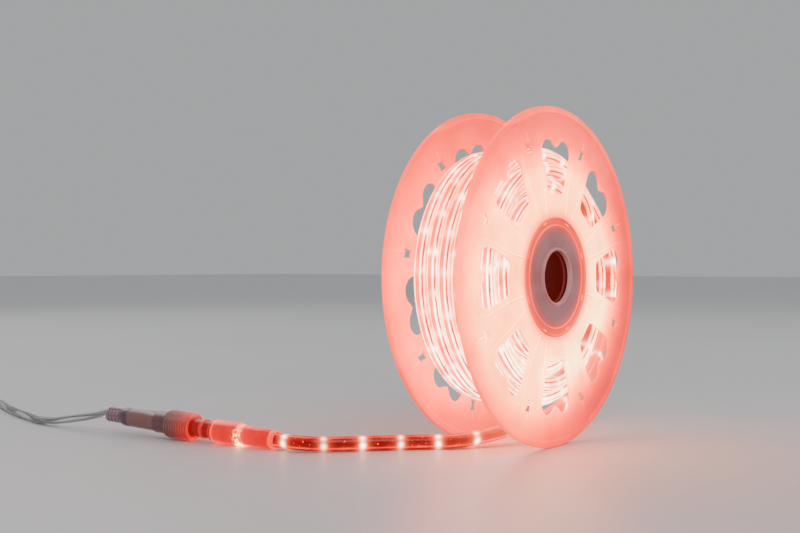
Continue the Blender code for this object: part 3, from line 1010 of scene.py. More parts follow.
@dataclass
class Flange:
    """One flange of the reel, with its pierced web, rounded lips and ribs."""

    side: Side
    turn: float
    half_width: float = 0.039
    rim_width: float = 0.0058
    rim_thickness: float = 0.0044
    rim_round: float = 0.0009
    rim_segments: int = 168
    web: float = 0.0020
    recess: float = 0.0006
    bore: float = 0.0232
    hub: float = 0.0254
    hub_segments: int = 72
    lip: float = 0.0020
    collar: float = 0.0075
    core_wall: float = 0.0020
    windows: int = 8
    window_lip: float = 0.0011
    slot_lip: float = 0.0009
    rib_radius: float = 0.00135
    rings_rise: float = 0.0008

    def window(self) -> list[Point2]:
        """Outline of the window at the top."""
        half = [(0.1143, 0.0)] + arc((0.1088, 0.0133), 0.0122, -50, 110, 16)
        return mirrored(half + arc((0.0802, 0.0090), 0.0070, 110, 180, 8))

    def slot(self) -> list[Point2]:
        """Outline of the pinched slot at the top."""
        return mirrored([(0.1234, 0.0), (0.1244, 0.0055), (0.1214, 0.0039), (0.1190, 0.0032),
                         (0.1166, 0.0039), (0.1136, 0.0055), (0.1146, 0.0)])

    def tab_slot(self) -> list[Point2]:
        """Outline of the slot for a tab of the core, at the top.

        Returns:
            Points along and across its centre line.
        """
        half_angle = math.pi / CORE_FACETS
        inner = (CORE_RADIUS - self.core_wall) * math.cos(half_angle) - FIT_GAP
        outer = CORE_RADIUS + FIT_GAP
        half = CORE_RADIUS * math.sin(half_angle) + FIT_GAP
        return [(outer, half), (inner, half), (inner, -half), (outer, -half)]

    def rim_profile(self, outer_face: float, inner_face: float) -> list[Point2]:
        """Profile of the rim, from the web's outer face round to its inner face.

        Args:
            outer_face: Depth of the web's outer face.
            inner_face: Depth of its inner face.

        Returns:
            Radius and depth of each point.
        """
        inner = FLANGE_RADIUS - self.rim_width
        face = self.half_width - self.rim_thickness
        soft = self.rim_round
        rim = [(inner - 0.0022, outer_face), (inner - 0.0012, outer_face - 0.0002),
               (inner, outer_face), (inner + 0.0004, self.half_width)]
        rim += arc((FLANGE_RADIUS - soft, self.half_width - soft), soft, 90, 0, 4)
        rim += arc((FLANGE_RADIUS - soft, face + soft), soft, 0, -90, 4)
        return rim + [(inner + 0.0006, face), (inner, face + 0.0004), (inner, inner_face)]

    def hub_profile(self, outer_face: float, inner_face: float) -> list[Point2]:
        """Profile of the hub's lip and collar, from the web's outer face to its inner face.

        Args:
            outer_face: Depth of the web's outer face.
            inner_face: Depth of its inner face.

        Returns:
            Radius and depth of each point.
        """
        top = outer_face + self.lip
        collar_end = self.half_width - self.collar
        return [(self.hub + 0.0005, outer_face), (self.hub, outer_face + 0.0004), (self.hub, top - 0.0005),
                (self.hub - 0.0005, top), (self.bore + 0.0005, top), (self.bore, top - 0.0005),
                (self.bore, collar_end), (self.hub, collar_end), (self.hub, inner_face)]

    def body(self, material: Material) -> Piece:
        """Make the moulding with all its holes.

        Args:
            material: Its finish.

        Returns:
            The piece.
        """
        sign = self.side.value
        outer_face = self.half_width - self.recess
        inner_face = outer_face - self.web
        bm = bmesh.new()
        outer_loops, inner_loops = [], []
        for profile, segments in ((self.rim_profile(outer_face, inner_face), self.rim_segments),
                                  (self.hub_profile(outer_face, inner_face), self.hub_segments)):
            loops = [ring(bm, radius, sign * depth, segments) for radius, depth in profile]
            loft(bm, loops)
            outer_loops.append(loops[0])
            inner_loops.append(loops[-1])
        pitch = FULL_TURN / self.windows
        for i in range(self.windows):
            for outline, place in ((self.window(), i), (self.slot(), i + 0.5), (self.tab_slot(), i + 0.5)):
                points = placed(outline, self.turn + place * pitch)
                outer, inner = ([bm.verts.new((x, sign * face, z)) for x, z in points]
                                for face in (outer_face, inner_face))
                loft(bm, [outer, inner])
                outer_loops.append(outer)
                inner_loops.append(inner)
        for loops in (outer_loops, inner_loops):
            edges = []
            for loop in loops:
                for vert, after in zip(loop, loop[1:] + loop[:1]):
                    edges.append(bm.edges.get((vert, after)) or bm.edges.new((vert, after)))
            bmesh.ops.triangle_fill(bm, use_beauty=True, use_dissolve=False, edges=edges)
        bmesh.ops.translate(bm, verts=bm.verts, vec=(0, 0, AXIS_HEIGHT))
        return closed_piece(f"{self.side.name.lower()}_flange_body", bm, material, 30.0)

    def relief_lines(self) -> GuideLines:
        """Guide lines of one eighth of the relief: lips of the window and the slot, ribs and spike.

        Returns:
            The lines, with the bead's radius at each point.
        """
        guide = GuideLines()
        half_pitch = math.pi / self.windows
        for outline, angle, width in ((self.window(), 0.0, self.window_lip),
                                      (self.slot(), half_pitch, self.slot_lip)):
            guide.add(upright(placed(grown_outline(outline, width), angle)), [width] * len(outline), True)
        for sign in (-1, 1):
            rib = [(0.0545, 0.0165), (0.0700, 0.0190), (0.0860, 0.0232), (0.1010, 0.0282),
                   (0.1120, 0.0312), (0.1210, 0.0310)]
            rounded = smooth_path([Vector((sign * v, 0, u)) for u, v in rib], 4)
            guide.add(rounded, [self.rib_radius - 0.0002 * i / len(rounded) for i in range(len(rounded))])
        spike = [(0.1246, 0.0), (0.1295, 0.0), (0.1348, 0.0), (0.1406, 0.0)]
        guide.add(upright(placed(spike, half_pitch)), [0.0016, 0.0014, 0.00115, 0.0008])
        return guide

    def rings(self) -> GuideLines:
        """Guide lines of the two thin rings round the hub.

        Returns:
            The lines, with the bead's radius at each point.
        """
        guide = GuideLines()
        for radius, width in ((0.0456, 0.00085), (CORE_RADIUS + 0.0006, 0.00120)):
            circle = arc((0.0, 0.0), radius, 0, 360 - 3.75, 95)
            guide.add(upright(circle), [width] * len(circle), True)
        return guide

    def build(self, beads: BeadMaker, material: Material, ring_material: Material) -> list[Piece]:
        """Make the flange and its relief.

        Args:
            beads: What raises the relief.
            material: The finish.
            ring_material: The finish of the rings round the hub.

        Returns:
            The pieces.
        """
        label = self.side.name.lower()
        body = self.body(material)
        middle = self.side.value * (self.half_width - self.recess - self.web / 2)
        relief = beads.make(f"{label}_flange_relief", self.relief_lines(), self.windows, middle, self.turn)
        outwards = middle + self.side.value * self.rings_rise
        rings = beads.make(f"{label}_flange_rings", self.rings(), 1, outwards, 0.0, 10)
        rings.data.materials[0] = ring_material
        declare(body, "reel_plastic", f"reel_flange_{label}")
        declare(relief, "reel_plastic")
        declare(rings, "reel_plastic")
        return [body, relief, rings]


def from_axis(angle: float) -> Vector:
    """Direction away from the reel's axis, clockwise from the top."""
    return Vector((math.sin(angle), 0, math.cos(angle)))


@dataclass
class Winding:
    """The wound rope: five layers of turns, then the free end's last stretch beside them."""

    layer_pitch: float = 0.01275
    turn_pitch: float = 0.0129
    layers: int = 5
    turns: int = 5
    half_width: float = 0.0359
    steps: int = 76
    crossing_start: float = 310.0
    start_angle: float = 90.0
    sway: float = 0.00045
    seed: int = 11

    def layer_radius(self, layer: int) -> float:
        """Radius of a layer's middle line."""
        return CORE_RADIUS + (layer + 0.5) * self.layer_pitch

    def turn_depth(self, layer: int, turn: int) -> float:
        """Place of a turn along the reel's axis.

        Args:
            layer: The layer, from the core.
            turn: The turn in it.

        Returns:
            The place along Y.
        """
        side = 1 if layer % 2 == 0 else -1
        return side * (self.half_width - (turn + 0.5) * self.turn_pitch)

    def beside(self) -> Point2:
        """Place of the free end, which lies beside the last turn.

        Returns:
            Its radius and its depth.
        """
        depth = -self.half_width + ROPE_DIAMETER / 2 + FIT_GAP
        reach = ROPE_DIAMETER + 2 * FIT_GAP
        last = self.turn_depth(self.layers - 1, self.turns - 1)
        radius = self.layer_radius(self.layers - 1) + math.sqrt(reach ** 2 - (last - depth) ** 2)
        return radius, depth

    def path(self) -> tuple[list[Vector], list[Vector]]:
        """Middle line of all the turns.

        Returns:
            The points, and at each the direction away from the reel's axis.
        """
        stations = [(self.layer_radius(layer), self.turn_depth(layer, turn))
                    for layer in range(self.layers) for turn in range(self.turns)]
        stations.append(self.beside())
        random = np.random.default_rng(self.seed)
        points: list[Vector] = []
        ups: list[Vector] = []

        def mark(radius: float, depth: float, angle: float) -> None:
            """Add a point and its direction."""
            ups.append(from_axis(angle))
            points.append(Vector((0, depth, AXIS_HEIGHT)) + radius * ups[-1])

        for here, after in zip(stations, stations[1:]):
            sway = [float(value) for value in random.uniform(-self.sway, self.sway, 3)]
            phase = [float(value) for value in random.uniform(0, FULL_TURN, 3)]
            for step in range(self.steps):
                degrees = 360.0 * step / self.steps
                blend = eased(min(1.0, max(0.0, (degrees - self.crossing_start)
                                           / (360.0 - self.crossing_start))))
                angle = math.radians(self.start_angle + degrees)
                calm = math.sin(math.pi * min(1.0, degrees / self.crossing_start))
                swayed = calm * sum(a * math.sin((k + 1) * angle + p)
                                    for k, (a, p) in enumerate(zip(sway, phase)))
                radius = here[0] + blend * (after[0] - here[0]) - calm * abs(sway[0]) * 1.2
                mark(radius, here[1] + blend * (after[1] - here[1]) + swayed, angle)
        for degrees in (0.0, 5.0, 9.85):
            mark(*stations[-1], math.radians(self.start_angle + degrees))
        return points, ups

    def free_end(self) -> list[Vector]:
        """First points of the free end, from where the winding stops to where it leaves the reel."""
        radius, depth = self.beside()
        return [Vector((0, depth, AXIS_HEIGHT)) + radius * from_axis(math.radians(degrees))
                for degrees in range(100, 156, 11)]

    def build(self, material: Material) -> Piece:
        """Args:
            material: Its finish.

        Returns:
            The piece.
        """
        points, ups = self.path()
        length = path_length(points)
        piece = TubeMaker("wound rope", material).make(
            "wound_rope", points, ups, ROPE_DIAMETER, 14, FREE_PHASE - length)
        declare(piece, "lit_rope", "rope_coil")
        LOG.info("wound rope %.2f m", length)
        return piece


@dataclass
class Connector:
    """The screwed connector between the rope and the lead, turned about one straight axis."""

    start_x: float = -0.1647
    start_y: float = 0.1438
    heading: float = math.radians(98.26)
    sleeve: float = 0.0386
    body: float = 0.0288
    body_radius: float = 0.0102
    neck: float = 0.0250
    nut: float = 0.0287
    nut_radius: float = 0.01265
    nut_wall: float = 0.0034
    nut_ridges: int = 13
    ridge_depth: float = 0.00060
    nut_edge: float = 0.0012
    collar: float = 0.0149
    collar_radius: float = 0.0100
    grip: float = 0.0330
    grip_radius: float = 0.0091
    shoulder: float = 0.0118
    relief: float = 0.0175
    relief_radius: float = 0.0065
    relief_rings: int = 4
    blocks_per_ring: int = 6

    def rise(self) -> float:
        """Rise of the axis for each metre along it."""
        return (self.nut_radius - self.body_radius) / (self.body + self.neck)

    def start(self) -> Vector:
        """Start of the axis, at the rope."""
        height = self.body_radius + FLOOR_CLEARANCE - self.rise() * (self.sleeve + FIT_GAP)
        return Vector((self.start_x, self.start_y, height))

    def direction(self) -> Vector:
        """Direction of the axis."""
        climb = math.atan(self.rise())
        flat = math.cos(climb)
        return Vector((flat * math.cos(self.heading), flat * math.sin(self.heading), math.sin(climb)))

    def point(self, distance: float) -> Vector:
        """Point on the axis at a distance from the rope."""
        return self.start() + self.direction() * distance

    def place(self, distance: float) -> Matrix:
        """Matrix that puts a shape turned about Y at a distance along the axis."""
        turn = self.direction().to_track_quat("Y", "Z").to_matrix().to_4x4()
        return Matrix.Translation(self.point(distance)) @ turn

    def end(self) -> float:
        """Distance of the strain relief's end."""
        return (self.sleeve + FIT_GAP + self.body + self.neck + self.nut + FIT_GAP
                + self.collar + self.grip + self.shoulder + self.relief)

    def ridged_wall(self) -> list[Point2]:
        """Profile of the nut's outside, with its rounded ridges.

        Returns:
            The profile's points.
        """
        start, end, radius = self.nut_edge, self.nut - self.nut_edge, self.nut_radius
        points = [(radius - 0.0008, 0.0), (radius - 0.0002, 0.0005)]
        for i in range(self.nut_ridges):
            for share, cut in ((0.0, 1.0), (0.25, 0.35), (0.5, 0.0), (0.75, 0.35)):
                points.append((radius - cut * self.ridge_depth,
                               start + (end - start) * (i + share) / self.nut_ridges))
        return points + [(radius - self.ridge_depth, end), (radius - 0.0003, self.nut - 0.0005),
                         (radius - 0.0010, self.nut)]

    def finishes(self, nut_start: float) -> tuple[Material, Material, Material]:
        """Make the finishes of the lit half, the nut and the clear half.

        Args:
            nut_start: Where the nut begins along the axis.

        Returns:
            The three materials.
        """
        axis = self.start(), self.direction()
        red = (0.20, 0.004, 0.003)
        glowing = ConnectorPlastic(
            "lit_connector_plastic", *axis, LIT_HALF_GLOW, ((0.0, red), (1.0, red)), 0.0, 0.0100,
            glints_at=self.sleeve - 0.0012)
        ridged = ConnectorPlastic(
            "ridged_nut_plastic", *axis, NUT_GLOW, NUT_TINT, 0.10, 0.0125, nut_start + self.nut_edge,
            (self.nut - 2 * self.nut_edge) / self.nut_ridges, 0.85, edge_light=0.6)
        clear = ConnectorPlastic(
            "clear_connector_plastic", *axis, CLEAR_HALF_GLOW, CLEAR_HALF_TINT, 0.15, 0.0090)
        return glowing.material(), ridged.material(), clear.material()

    def build(self) -> list[Piece]:
        """Make every piece of the connector.

        Returns:
            The pieces.
        """
        socket_start = self.sleeve + FIT_GAP
        nut_start = socket_start + self.body + self.neck
        nut_bore = self.nut_radius - self.nut_wall
        lip_bore = nut_bore - 2 * FIT_GAP
        thread = nut_bore - FIT_GAP
        socket_end = self.body + self.neck + self.nut / 2
        stem_start = socket_start + socket_end + FIT_GAP
        stem = self.nut / 2
        collar_end = stem + self.collar
        grip_end = collar_end + self.grip
        shoulder_end = grip_end + self.shoulder
        relief_end = shoulder_end + self.relief
        glowing, ridged, clear = self.finishes(nut_start)

        sleeve = turned_piece("rope_sleeve_shell", [
            (0.0066, 0.0), (0.0074, 0.0004), (0.0078, 0.0012), (0.0079, 0.0046), (0.0076, 0.0052),
            (0.0076, 0.0060), (0.0080, 0.0066), (0.0083, 0.018), (0.0087, self.sleeve - 0.001),
            (0.0089, self.sleeve)], glowing, self.place(0.0))

        def on_neck(steps: float) -> float:
            """Distance of a seventh of the neck."""
            return self.body + steps * self.neck / 7

        socket = turned_piece("socket_shell", [
            (0.0094, 0.0), (0.0099, 0.0003), (0.0102, 0.0009), (0.0103, 0.010), (0.0102, self.body - 0.0012),
            (0.0098, self.body - 0.0004), (0.0093, self.body), (0.0093, on_neck(0.9)),
            (0.0090, on_neck(1)), (0.0079, on_neck(1)), (0.0078, on_neck(2)), (0.0080, on_neck(3)),
            (thread - 0.0004, on_neck(3)), (thread, on_neck(3.15)), (thread, on_neck(3.85)),
            (thread - 0.0004, on_neck(4)), (0.0081, on_neck(4)), (0.0082, on_neck(7) - 0.0004),
            (thread, on_neck(7)), (thread, socket_end)], glowing, self.place(socket_start))

        nut = turned_piece("coupling_nut_shell", self.ridged_wall() + [
            (lip_bore, self.nut), (lip_bore, self.nut - 0.004), (nut_bore, self.nut - 0.004),
            (nut_bore, 0.0)], ridged, self.place(nut_start), 80, closed=True)

        half = turned_piece("lead_connector_shell", [
            (nut_bore - 3 * FIT_GAP, 0.0), (nut_bore - 3 * FIT_GAP, stem), (0.0097, stem),
            (self.collar_radius, stem + 0.0004), (self.collar_radius, collar_end - 0.0006),
            (0.0094, collar_end), (self.grip_radius, collar_end + 0.0006),
            (0.0089, collar_end + self.grip * 0.5), (0.0086, grip_end - 0.0004), (0.0083, grip_end),
            (0.0083, grip_end + 0.0005), (0.0087, grip_end + 0.0010),
            (0.0087, grip_end + self.shoulder * 0.55), (0.0080, grip_end + self.shoulder * 0.72),
            (0.0066, shoulder_end), (0.0056, shoulder_end + 0.0003),
            (0.0054, relief_end - 0.0008), (0.0050, relief_end)], clear, self.place(stem_start))

        blocks = self.relief_blocks(clear, stem_start + shoulder_end)
        pin = turned_piece("contact_pin", [
            (0.0012, 0.0), (0.0022, 0.0006), (0.0024, 0.009), (0.0018, 0.0105), (0.0014, 0.022)],
            CONTACT_METAL.material(), self.place(stem_start + collar_end + 0.004), 24)
        declare(sleeve, "lit_sleeve", "rope_end_sleeve")
        declare(socket, "lit_sleeve", "socket_connector")
        declare(nut, "clear_plastic", "coupling_nut")
        declare(half, "clear_plastic", "lead_connector")
        declare(blocks, "clear_plastic")
        declare(pin, "pin_metal")
        return [sleeve, socket, nut, half, blocks, pin]

    def relief_blocks(self, material: Material, distance: float) -> Piece:
        """The strain relief's small blocks, in rings with gaps between them.

        Args:
            material: Their finish.
            distance: Where the first ring begins along the axis.

        Returns:
            The piece.
        """
        pitch = self.relief / self.relief_rings
        sizes = {"Rings": self.relief_rings, "Blocks": self.blocks_per_ring, "Pitch": pitch,
                 "Radius": self.relief_radius}
        tree = GeometryTree("strain relief blocks", sizes)
        cube = tree.add("GeometryNodeMeshCube", {"Size": tree.vector(0.0052, pitch * 0.62, 0.0026)})
        fine = tree.add("GeometryNodeSubdivisionSurface",
                        {"Mesh": cube.outputs[0], "Level": 2, "Edge Crease": 0.75})
        smooth = tree.add("GeometryNodeSetShadeSmooth", {0: fine.outputs[0]})
        index = tree.add("GeometryNodeInputIndex").outputs[0]
        row = tree.maths("FLOOR", tree.maths("DIVIDE", index, tree.size("Blocks")))
        along = tree.times(tree.maths("ADD", row, 0.5), tree.size("Pitch"))
        angle = tree.times(index, tree.maths("DIVIDE", FULL_TURN, tree.size("Blocks")))
        inner = tree.maths("SUBTRACT", tree.size("Radius"), 0.0011)
        across = tree.times(tree.maths("SINE", angle), inner)
        up = tree.times(tree.maths("COSINE", angle), inner)
        count = tree.times(tree.size("Rings"), tree.size("Blocks"))
        copies = tree.copies(smooth.outputs[0], count, tree.vector(across, along, up),
                             tree.vector(0.0, angle))
        tree.end(copies, material)
        seed = GuideLines()
        seed.add([Vector((0, 0, 0))], [0.0])
        piece = tree.build("strain_relief_blocks", seed.mesh("relief_seed", "width"), sizes)
        piece.data.transform(self.place(distance))
        return piece


@dataclass
class RopeTail:
    """The rope's free end, from the winding under the far flange to its sleeve."""

    winding: Winding
    connector: Connector
    spacing: float = 0.006

    def path(self) -> list[Vector]:
        """Its middle line.

        Returns:
            The points.
        """
        route = [
            (0.0430, -0.0245, 0.0350), (0.0240, -0.0175, 0.0245), (0.0040, -0.0090, 0.0180),
            (-0.0170, 0.0000, 0.0138), (-0.0370, 0.0080, 0.0105), (-0.0550, 0.0178, 0.0080),
            (-0.0680, 0.0285, 0.0068), (-0.0790, 0.0410, 0.0066), (-0.0930, 0.0555, 0.0066),
            (-0.1100, 0.0710, 0.0066), (-0.1280, 0.0870, 0.0067), (-0.1440, 0.1010, 0.0069),
            (-0.1560, 0.1145, 0.0073)]
        before = self.connector.point(-ROPE_DIAMETER)
        points = self.winding.free_end() + [Vector(p) for p in route] + [before]
        return evenly_spaced(smooth_path(points, 10), self.spacing) + [self.connector.point(0.001)]

    def build(self, material: Material, path: list[Vector]) -> Piece:
        """Args:
            material: Its finish.
            path: Its middle line.

        Returns:
            The piece.
        """
        ups = [Vector((0, 0, 1)) for _ in path]
        piece = TubeMaker("free rope", material).make("free_rope", path, ups, ROPE_DIAMETER, 28, FREE_PHASE)
        declare(piece, "lit_rope", "rope_tail")
        return piece


@dataclass
class PowerLead:
    """The clear power lead: a free stretch, a neat coil and a short end to the plug."""

    connector: Connector
    centre_x: float = -0.1900
    centre_y: float = 0.6640
    middle: float = 0.0385
    length: float = 1.5
    turns: float = 4.5
    low_turns: float = 2.15
    high_start: float = 2.6
    steps_per_turn: int = 40
    conductor_offset: float = 0.0017
    conductor_lay: float = 0.17

    def outer(self) -> float:
        """Outer radius of the coil."""
        return self.middle + 3 * LEAD_DIAMETER / 2

    def exit(self, side: int) -> Vector:
        """Where the lead meets its coil, on the side of -X or +X.

        Args:
            side: -1 or 1.

        Returns:
            The point.
        """
        turn_radius = self.outer() - LEAD_DIAMETER / 2
        beyond = math.sqrt((self.outer() + FIT_GAP) ** 2 - (turn_radius - LEAD_DIAMETER / 2) ** 2)
        return Vector((self.centre_x + side * turn_radius, self.centre_y - beyond,
                       LEAD_DIAMETER / 2 + FLOOR_CLEARANCE))

    def coil(self) -> list[Vector]:
        """Middle line of the coil: inwards on the floor, then outwards on top of it.

        Returns:
            The points.
        """
        low = LEAD_DIAMETER / 2 + FLOOR_CLEARANCE
        high = low + LEAD_DIAMETER * 0.95
        outer = self.outer() - LEAD_DIAMETER / 2
        inner = outer - 2 * LEAD_DIAMETER
        points = []
        steps = int(self.turns * self.steps_per_turn)
        for i in range(steps + 1):
            turn = self.turns * i / steps
            if turn < self.low_turns:
                radius = outer - LEAD_DIAMETER * turn * 2 / self.low_turns
                height = low
            elif turn < self.high_start:
                blend = eased((turn - self.low_turns) / (self.high_start - self.low_turns))
                radius = inner + blend * LEAD_DIAMETER * 0.25
                height = low + blend * (high - low)
            else:
                share = (turn - self.high_start) / (self.turns - self.high_start)
                radius = inner + LEAD_DIAMETER * (0.25 + 1.75 * share)
                height = high
            angle = FULL_TURN * turn
            points.append(Vector((self.centre_x + radius * math.cos(angle),
                                  self.centre_y + radius * math.sin(angle), height)))
        return points

    def entry(self) -> Vector:
        """Where the lead enters the plug."""
        start = self.exit(-1)
        return Vector((start.x - 0.004, start.y - 0.040, 0.0065 + FLOOR_CLEARANCE))

    def path(self) -> list[Vector]:
        """Middle line of the whole lead.

        Returns:
            The points.
        """
        end = self.connector.end()
        route = [
            (-0.1970, 0.3664, 0.0137), (-0.2008, 0.3935, 0.0088), (-0.2038, 0.4170, 0.0050),
            (-0.2032, 0.4430, 0.0039), (-0.1967, 0.4686, 0.0039), (-0.1860, 0.5080, 0.0039),
            (-0.1715, 0.5499, 0.0039), (-0.1575, 0.5850, 0.0039), (-0.1480, 0.6120, 0.0039)]
        free = [self.connector.point(end - 0.002), self.connector.point(end + LEAD_DIAMETER)]
        free += [Vector(p) for p in route] + [self.exit(1)]
        entry = self.entry()
        last = self.exit(-1)
        tail = [Vector((last.x + x, last.y + y, z)) for x, y, z in (
            (-0.0005, 0.010, 0.0100), (-0.0015, -0.008, 0.0065), (-0.0030, -0.024, 0.0055))]
        tail += [entry + Vector((0, LEAD_DIAMETER, 0)), entry]
        rough = evenly_spaced(smooth_path(free, 8), 0.007) + self.coil() + tail
        return evenly_spaced(smooth_path(rough, 2), 0.0055)

    def conductor(self, path: list[Vector], side: int) -> list[Vector]:
        """Middle line of one conductor, which winds slowly inside the sheath.

        Args:
            path: The lead's middle line.
            side: 0 or 1.

        Returns:
            The points, from the path's second to its last but one.
        """
        points = []
        travelled = 0.0
        for before, here, after in zip(path, path[1:], path[2:]):
            travelled += (here - before).length
            tangent = (after - before).normalized()
            across = tangent.cross(Vector((0, 0, 1))).normalized()
            upward = across.cross(tangent)
            angle = FULL_TURN * (travelled / self.conductor_lay + 0.5 * side) + 1.2
            away = math.cos(angle) * upward + math.sin(angle) * across
            points.append(here + self.conductor_offset * away)
        return points

    def build(self, path: list[Vector]) -> Piece:
        """Make the lead with its conductors.

        Args:
            path: Its middle line.

        Returns:
            The piece.
        """
        ups = [Vector((0, 0, 1)) for _ in path]
        sheath = TubeMaker("power lead", LEAD_SHEATH.material())
        piece = sheath.make("power_lead_sheath", path, ups, LEAD_DIAMETER, 16)
        wires = TubeMaker("conductor", StrandedWire("silvery_strands").material())
        inner = [wires.make(f"conductor_{side}", self.conductor(path, side), ups[1:-1],
                            CONDUCTOR_DIAMETER, 10) for side in (0, 1)]
        joined = [piece, *inner]
        with bpy.context.temp_override(active_object=piece, object=piece, selected_objects=joined,
                                       selected_editable_objects=joined):
            bpy.ops.object.join()
        declare(piece, "clear_sheath", "power_lead", "power_lead_coil", "power_lead_end")
        return piece


@dataclass
class MainsPlug:
    """The flat two-pin plug on the lead's end."""

    entry: Vector
    length: float = 0.0400
    width: float = 0.0200
    height: float = 0.0130
    squareness: float = 0.45
    segments: int = 32
    ridges: int = 5

    def body(self, material: Material) -> Piece:
        """Make the plug's body, a loft of rounded sections.

        Args:
            material: Its finish.

        Returns:
            The piece.
        """
        bm = bmesh.new()
        loops = []
        for share, wide, high in ((0.0, 0.45, 0.62), (0.18, 0.62, 0.80), (0.45, 0.98, 0.99),
                                  (0.60, 1.0, 1.0), (0.97, 1.0, 1.0), (1.0, 0.92, 0.90)):
            loop = []
            for i in range(self.segments):
                c, s = (turned(FULL_TURN * i / self.segments) for turned in (math.cos, math.sin))
                x = math.copysign(abs(c) ** self.squareness, c) * self.width / 2 * wide
                z = math.copysign(abs(s) ** self.squareness, s) * self.height / 2 * high
                y = self.entry.y - FIT_GAP - self.length * share
                loop.append(bm.verts.new((self.entry.x + x, y, self.entry.z + z)))
            loops.append(loop)
        loft(bm, loops, True)
        return closed_piece("plug_body_shell", bm, material, 40.0)

    def grip_lines(self) -> GuideLines:
        """Guide lines of the ridges on its top and underside.

        Returns:
            The lines, with the bead's radius at each point.
        """
        guide = GuideLines()
        half = self.width * 0.32
        for i in range(self.ridges):
            y = self.entry.y - FIT_GAP - self.length * (0.52 + 0.08 * i)
            for sign in (-1, 1):
                z = self.entry.z + sign * (self.height / 2 - 0.0001) - AXIS_HEIGHT
                line = [Vector((self.entry.x - half + 2 * half * k / 4, y, z)) for k in range(5)]
                guide.add(line, [0.0003, 0.0006, 0.0006, 0.0006, 0.0003])
        return guide

    def build(self) -> list[Piece]:
        """Make the plug's body and its grip ridges, and dress its pins.

        Returns:
            The plug's pieces, pins included.
        """
        material = PLUG_PLASTIC.material()
        body = self.body(material)
        ridges = BeadMaker("plug ridges", material).make("plug_grip_ridges", self.grip_lines())
        declare(body, "plug_plastic", "mains_plug")
        declare(ridges, "plug_plastic")
        pin_metal = PIN_METAL.material()
        pins = [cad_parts["plug_pin_left"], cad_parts["plug_pin_right"]]
        for pin in pins:
            dress(pin, pin_metal)
        return [body, ridges, *pins]


def dress(node: Piece, material: Material) -> None:
    """Give a carried-over node its finish."""
    node.data.materials.clear()
    node.data.materials.append(material)


@dataclass
class Studio:
    """The camera of the photograph, a plain pale floor and soft light."""

    focal: float = 48.44
    horizon_drop: float = 0.00102
    eye: tuple[float, float, float] = (-0.8325, -0.5185, 0.1602)
    heading: float = math.atan2(-0.7854, 0.6190)
    floor_half: float = 14.0
    sky: tuple[float, float, float, float] = (0.80, 0.81, 0.83, 1.0)
    sky_strength: float = 0.55

    def camera(self) -> None:
        """Set up the camera."""
        data = bpy.data.cameras.new("photo_camera")
        data.lens = self.focal
        data.sensor_width = 36.0
        camera = link_piece("photo_camera", data)
        camera.location = self.eye
        camera.rotation_euler = (math.pi / 2 - self.horizon_drop, 0.0, self.heading)
        bpy.context.scene.camera = camera

    def floor(self) -> None:
        """Lay the floor."""
        bm = bmesh.new()
        bmesh.ops.create_grid(bm, x_segments=8, y_segments=8, size=self.floor_half)
        mesh = bpy.data.meshes.new("studio_floor")
        bm.to_mesh(mesh)
        bm.free()
        mesh.materials.append(PALE_FLOOR.material())
        link_piece("studio_floor", mesh)

    def light(self) -> None:
        """Hang the soft lights and set the surroundings."""
        world = bpy.data.worlds.new("studio_world")
        bpy.context.scene.world = world
        world.use_nodes = True
        background = world.node_tree.nodes["Background"]
        background.inputs["Color"].default_value = self.sky
        background.inputs["Strength"].default_value = self.sky_strength
        for name, place, size, power in (
                ("key", (-1.3, -1.6, 2.2), 1.8, 26.0),
                ("fill", (1.9, -0.9, 1.5), 2.2, 10.0),
                ("back", (0.4, 2.2, 1.9), 2.0, 16.0)):
            data = bpy.data.lights.new(name, "AREA")
            data.energy = power
            data.size = size
            lamp = link_piece(name, data)
            lamp.location = place
            aim = Vector((-0.05, 0.15, 0.10)) - Vector(place)
            lamp.rotation_euler = aim.to_track_quat("-Z", "Y").to_euler()


# Glow round a wound turn, by angle from the top: salmon and red glow of the lit core, with white bands that
# are partly painted highlights of the clear sheath.
WOUND_STRIPES = glow_stops(
    (0.00, 5.0, 0.36), (0.09, 5.2, 0.40), (0.13, 9.0, 4.4, 0.60), (0.18, 9.0, 4.0, 0.60),
    (0.215, 2.4, 0.04), (0.270, 2.4, 0.04), (0.30, 9.0, 3.8, 0.60), (0.36, 8.0, 2.2), (0.42, 5.5, 0.60),
    (0.50, 8.5, 3.4, 0.50), (0.58, 8.0, 1.8), (0.62, 2.2, 0.04), (0.66, 2.4, 0.05), (0.70, 8.0, 2.40),
    (0.80, 7.0, 1.20), (0.85, 1.6, 0.02), (1.00, 1.2, 0.01))
# Glow round the free rope, by angle from the top: red glow of the lit core, with light lines at 0.17 and 0.68
# that are painted highlights of the clear sheath.
FREE_STRIPES = glow_stops(
    (0.00, 0.6, 0.005), (0.10, 0.9, 0.01), (0.17, 2.6, 0.10), (0.21, 0.7, 0.002), (0.40, 0.30, 0.0),
    (0.52, 0.30, 0.0), (0.62, 0.7, 0.002), (0.68, 3.0, 0.15), (0.74, 0.7, 0.002), (1.00, 0.3, 0.0))
NEAR_GLOW = glow_stops(
    (0.000, 0.05, 0.004), (0.1500, 0.09, 0.007), (0.152, 0.46, 0.25, 1.05), (0.170, 0.46, 0.25, 1.05),
    (0.178, 0.29, 0.16, 1.10), (0.250, 0.33, 0.16, 1.10), (0.286, 0.75, 0.13, 1.00), (0.300, 1.80, 0.04),
    (0.340, 2.20, 0.07), (0.356, 5.80, 0.60), (0.410, 8.00, 2.50), (0.620, 8.00, 2.70),
    (0.700, 7.20, 1.00), (0.800, 4.80, 0.26), (0.890, 3.50, 0.12), (0.950, 2.90, 0.08),
    (0.965, 3.90, 0.17), (1.000, 3.10, 0.10))
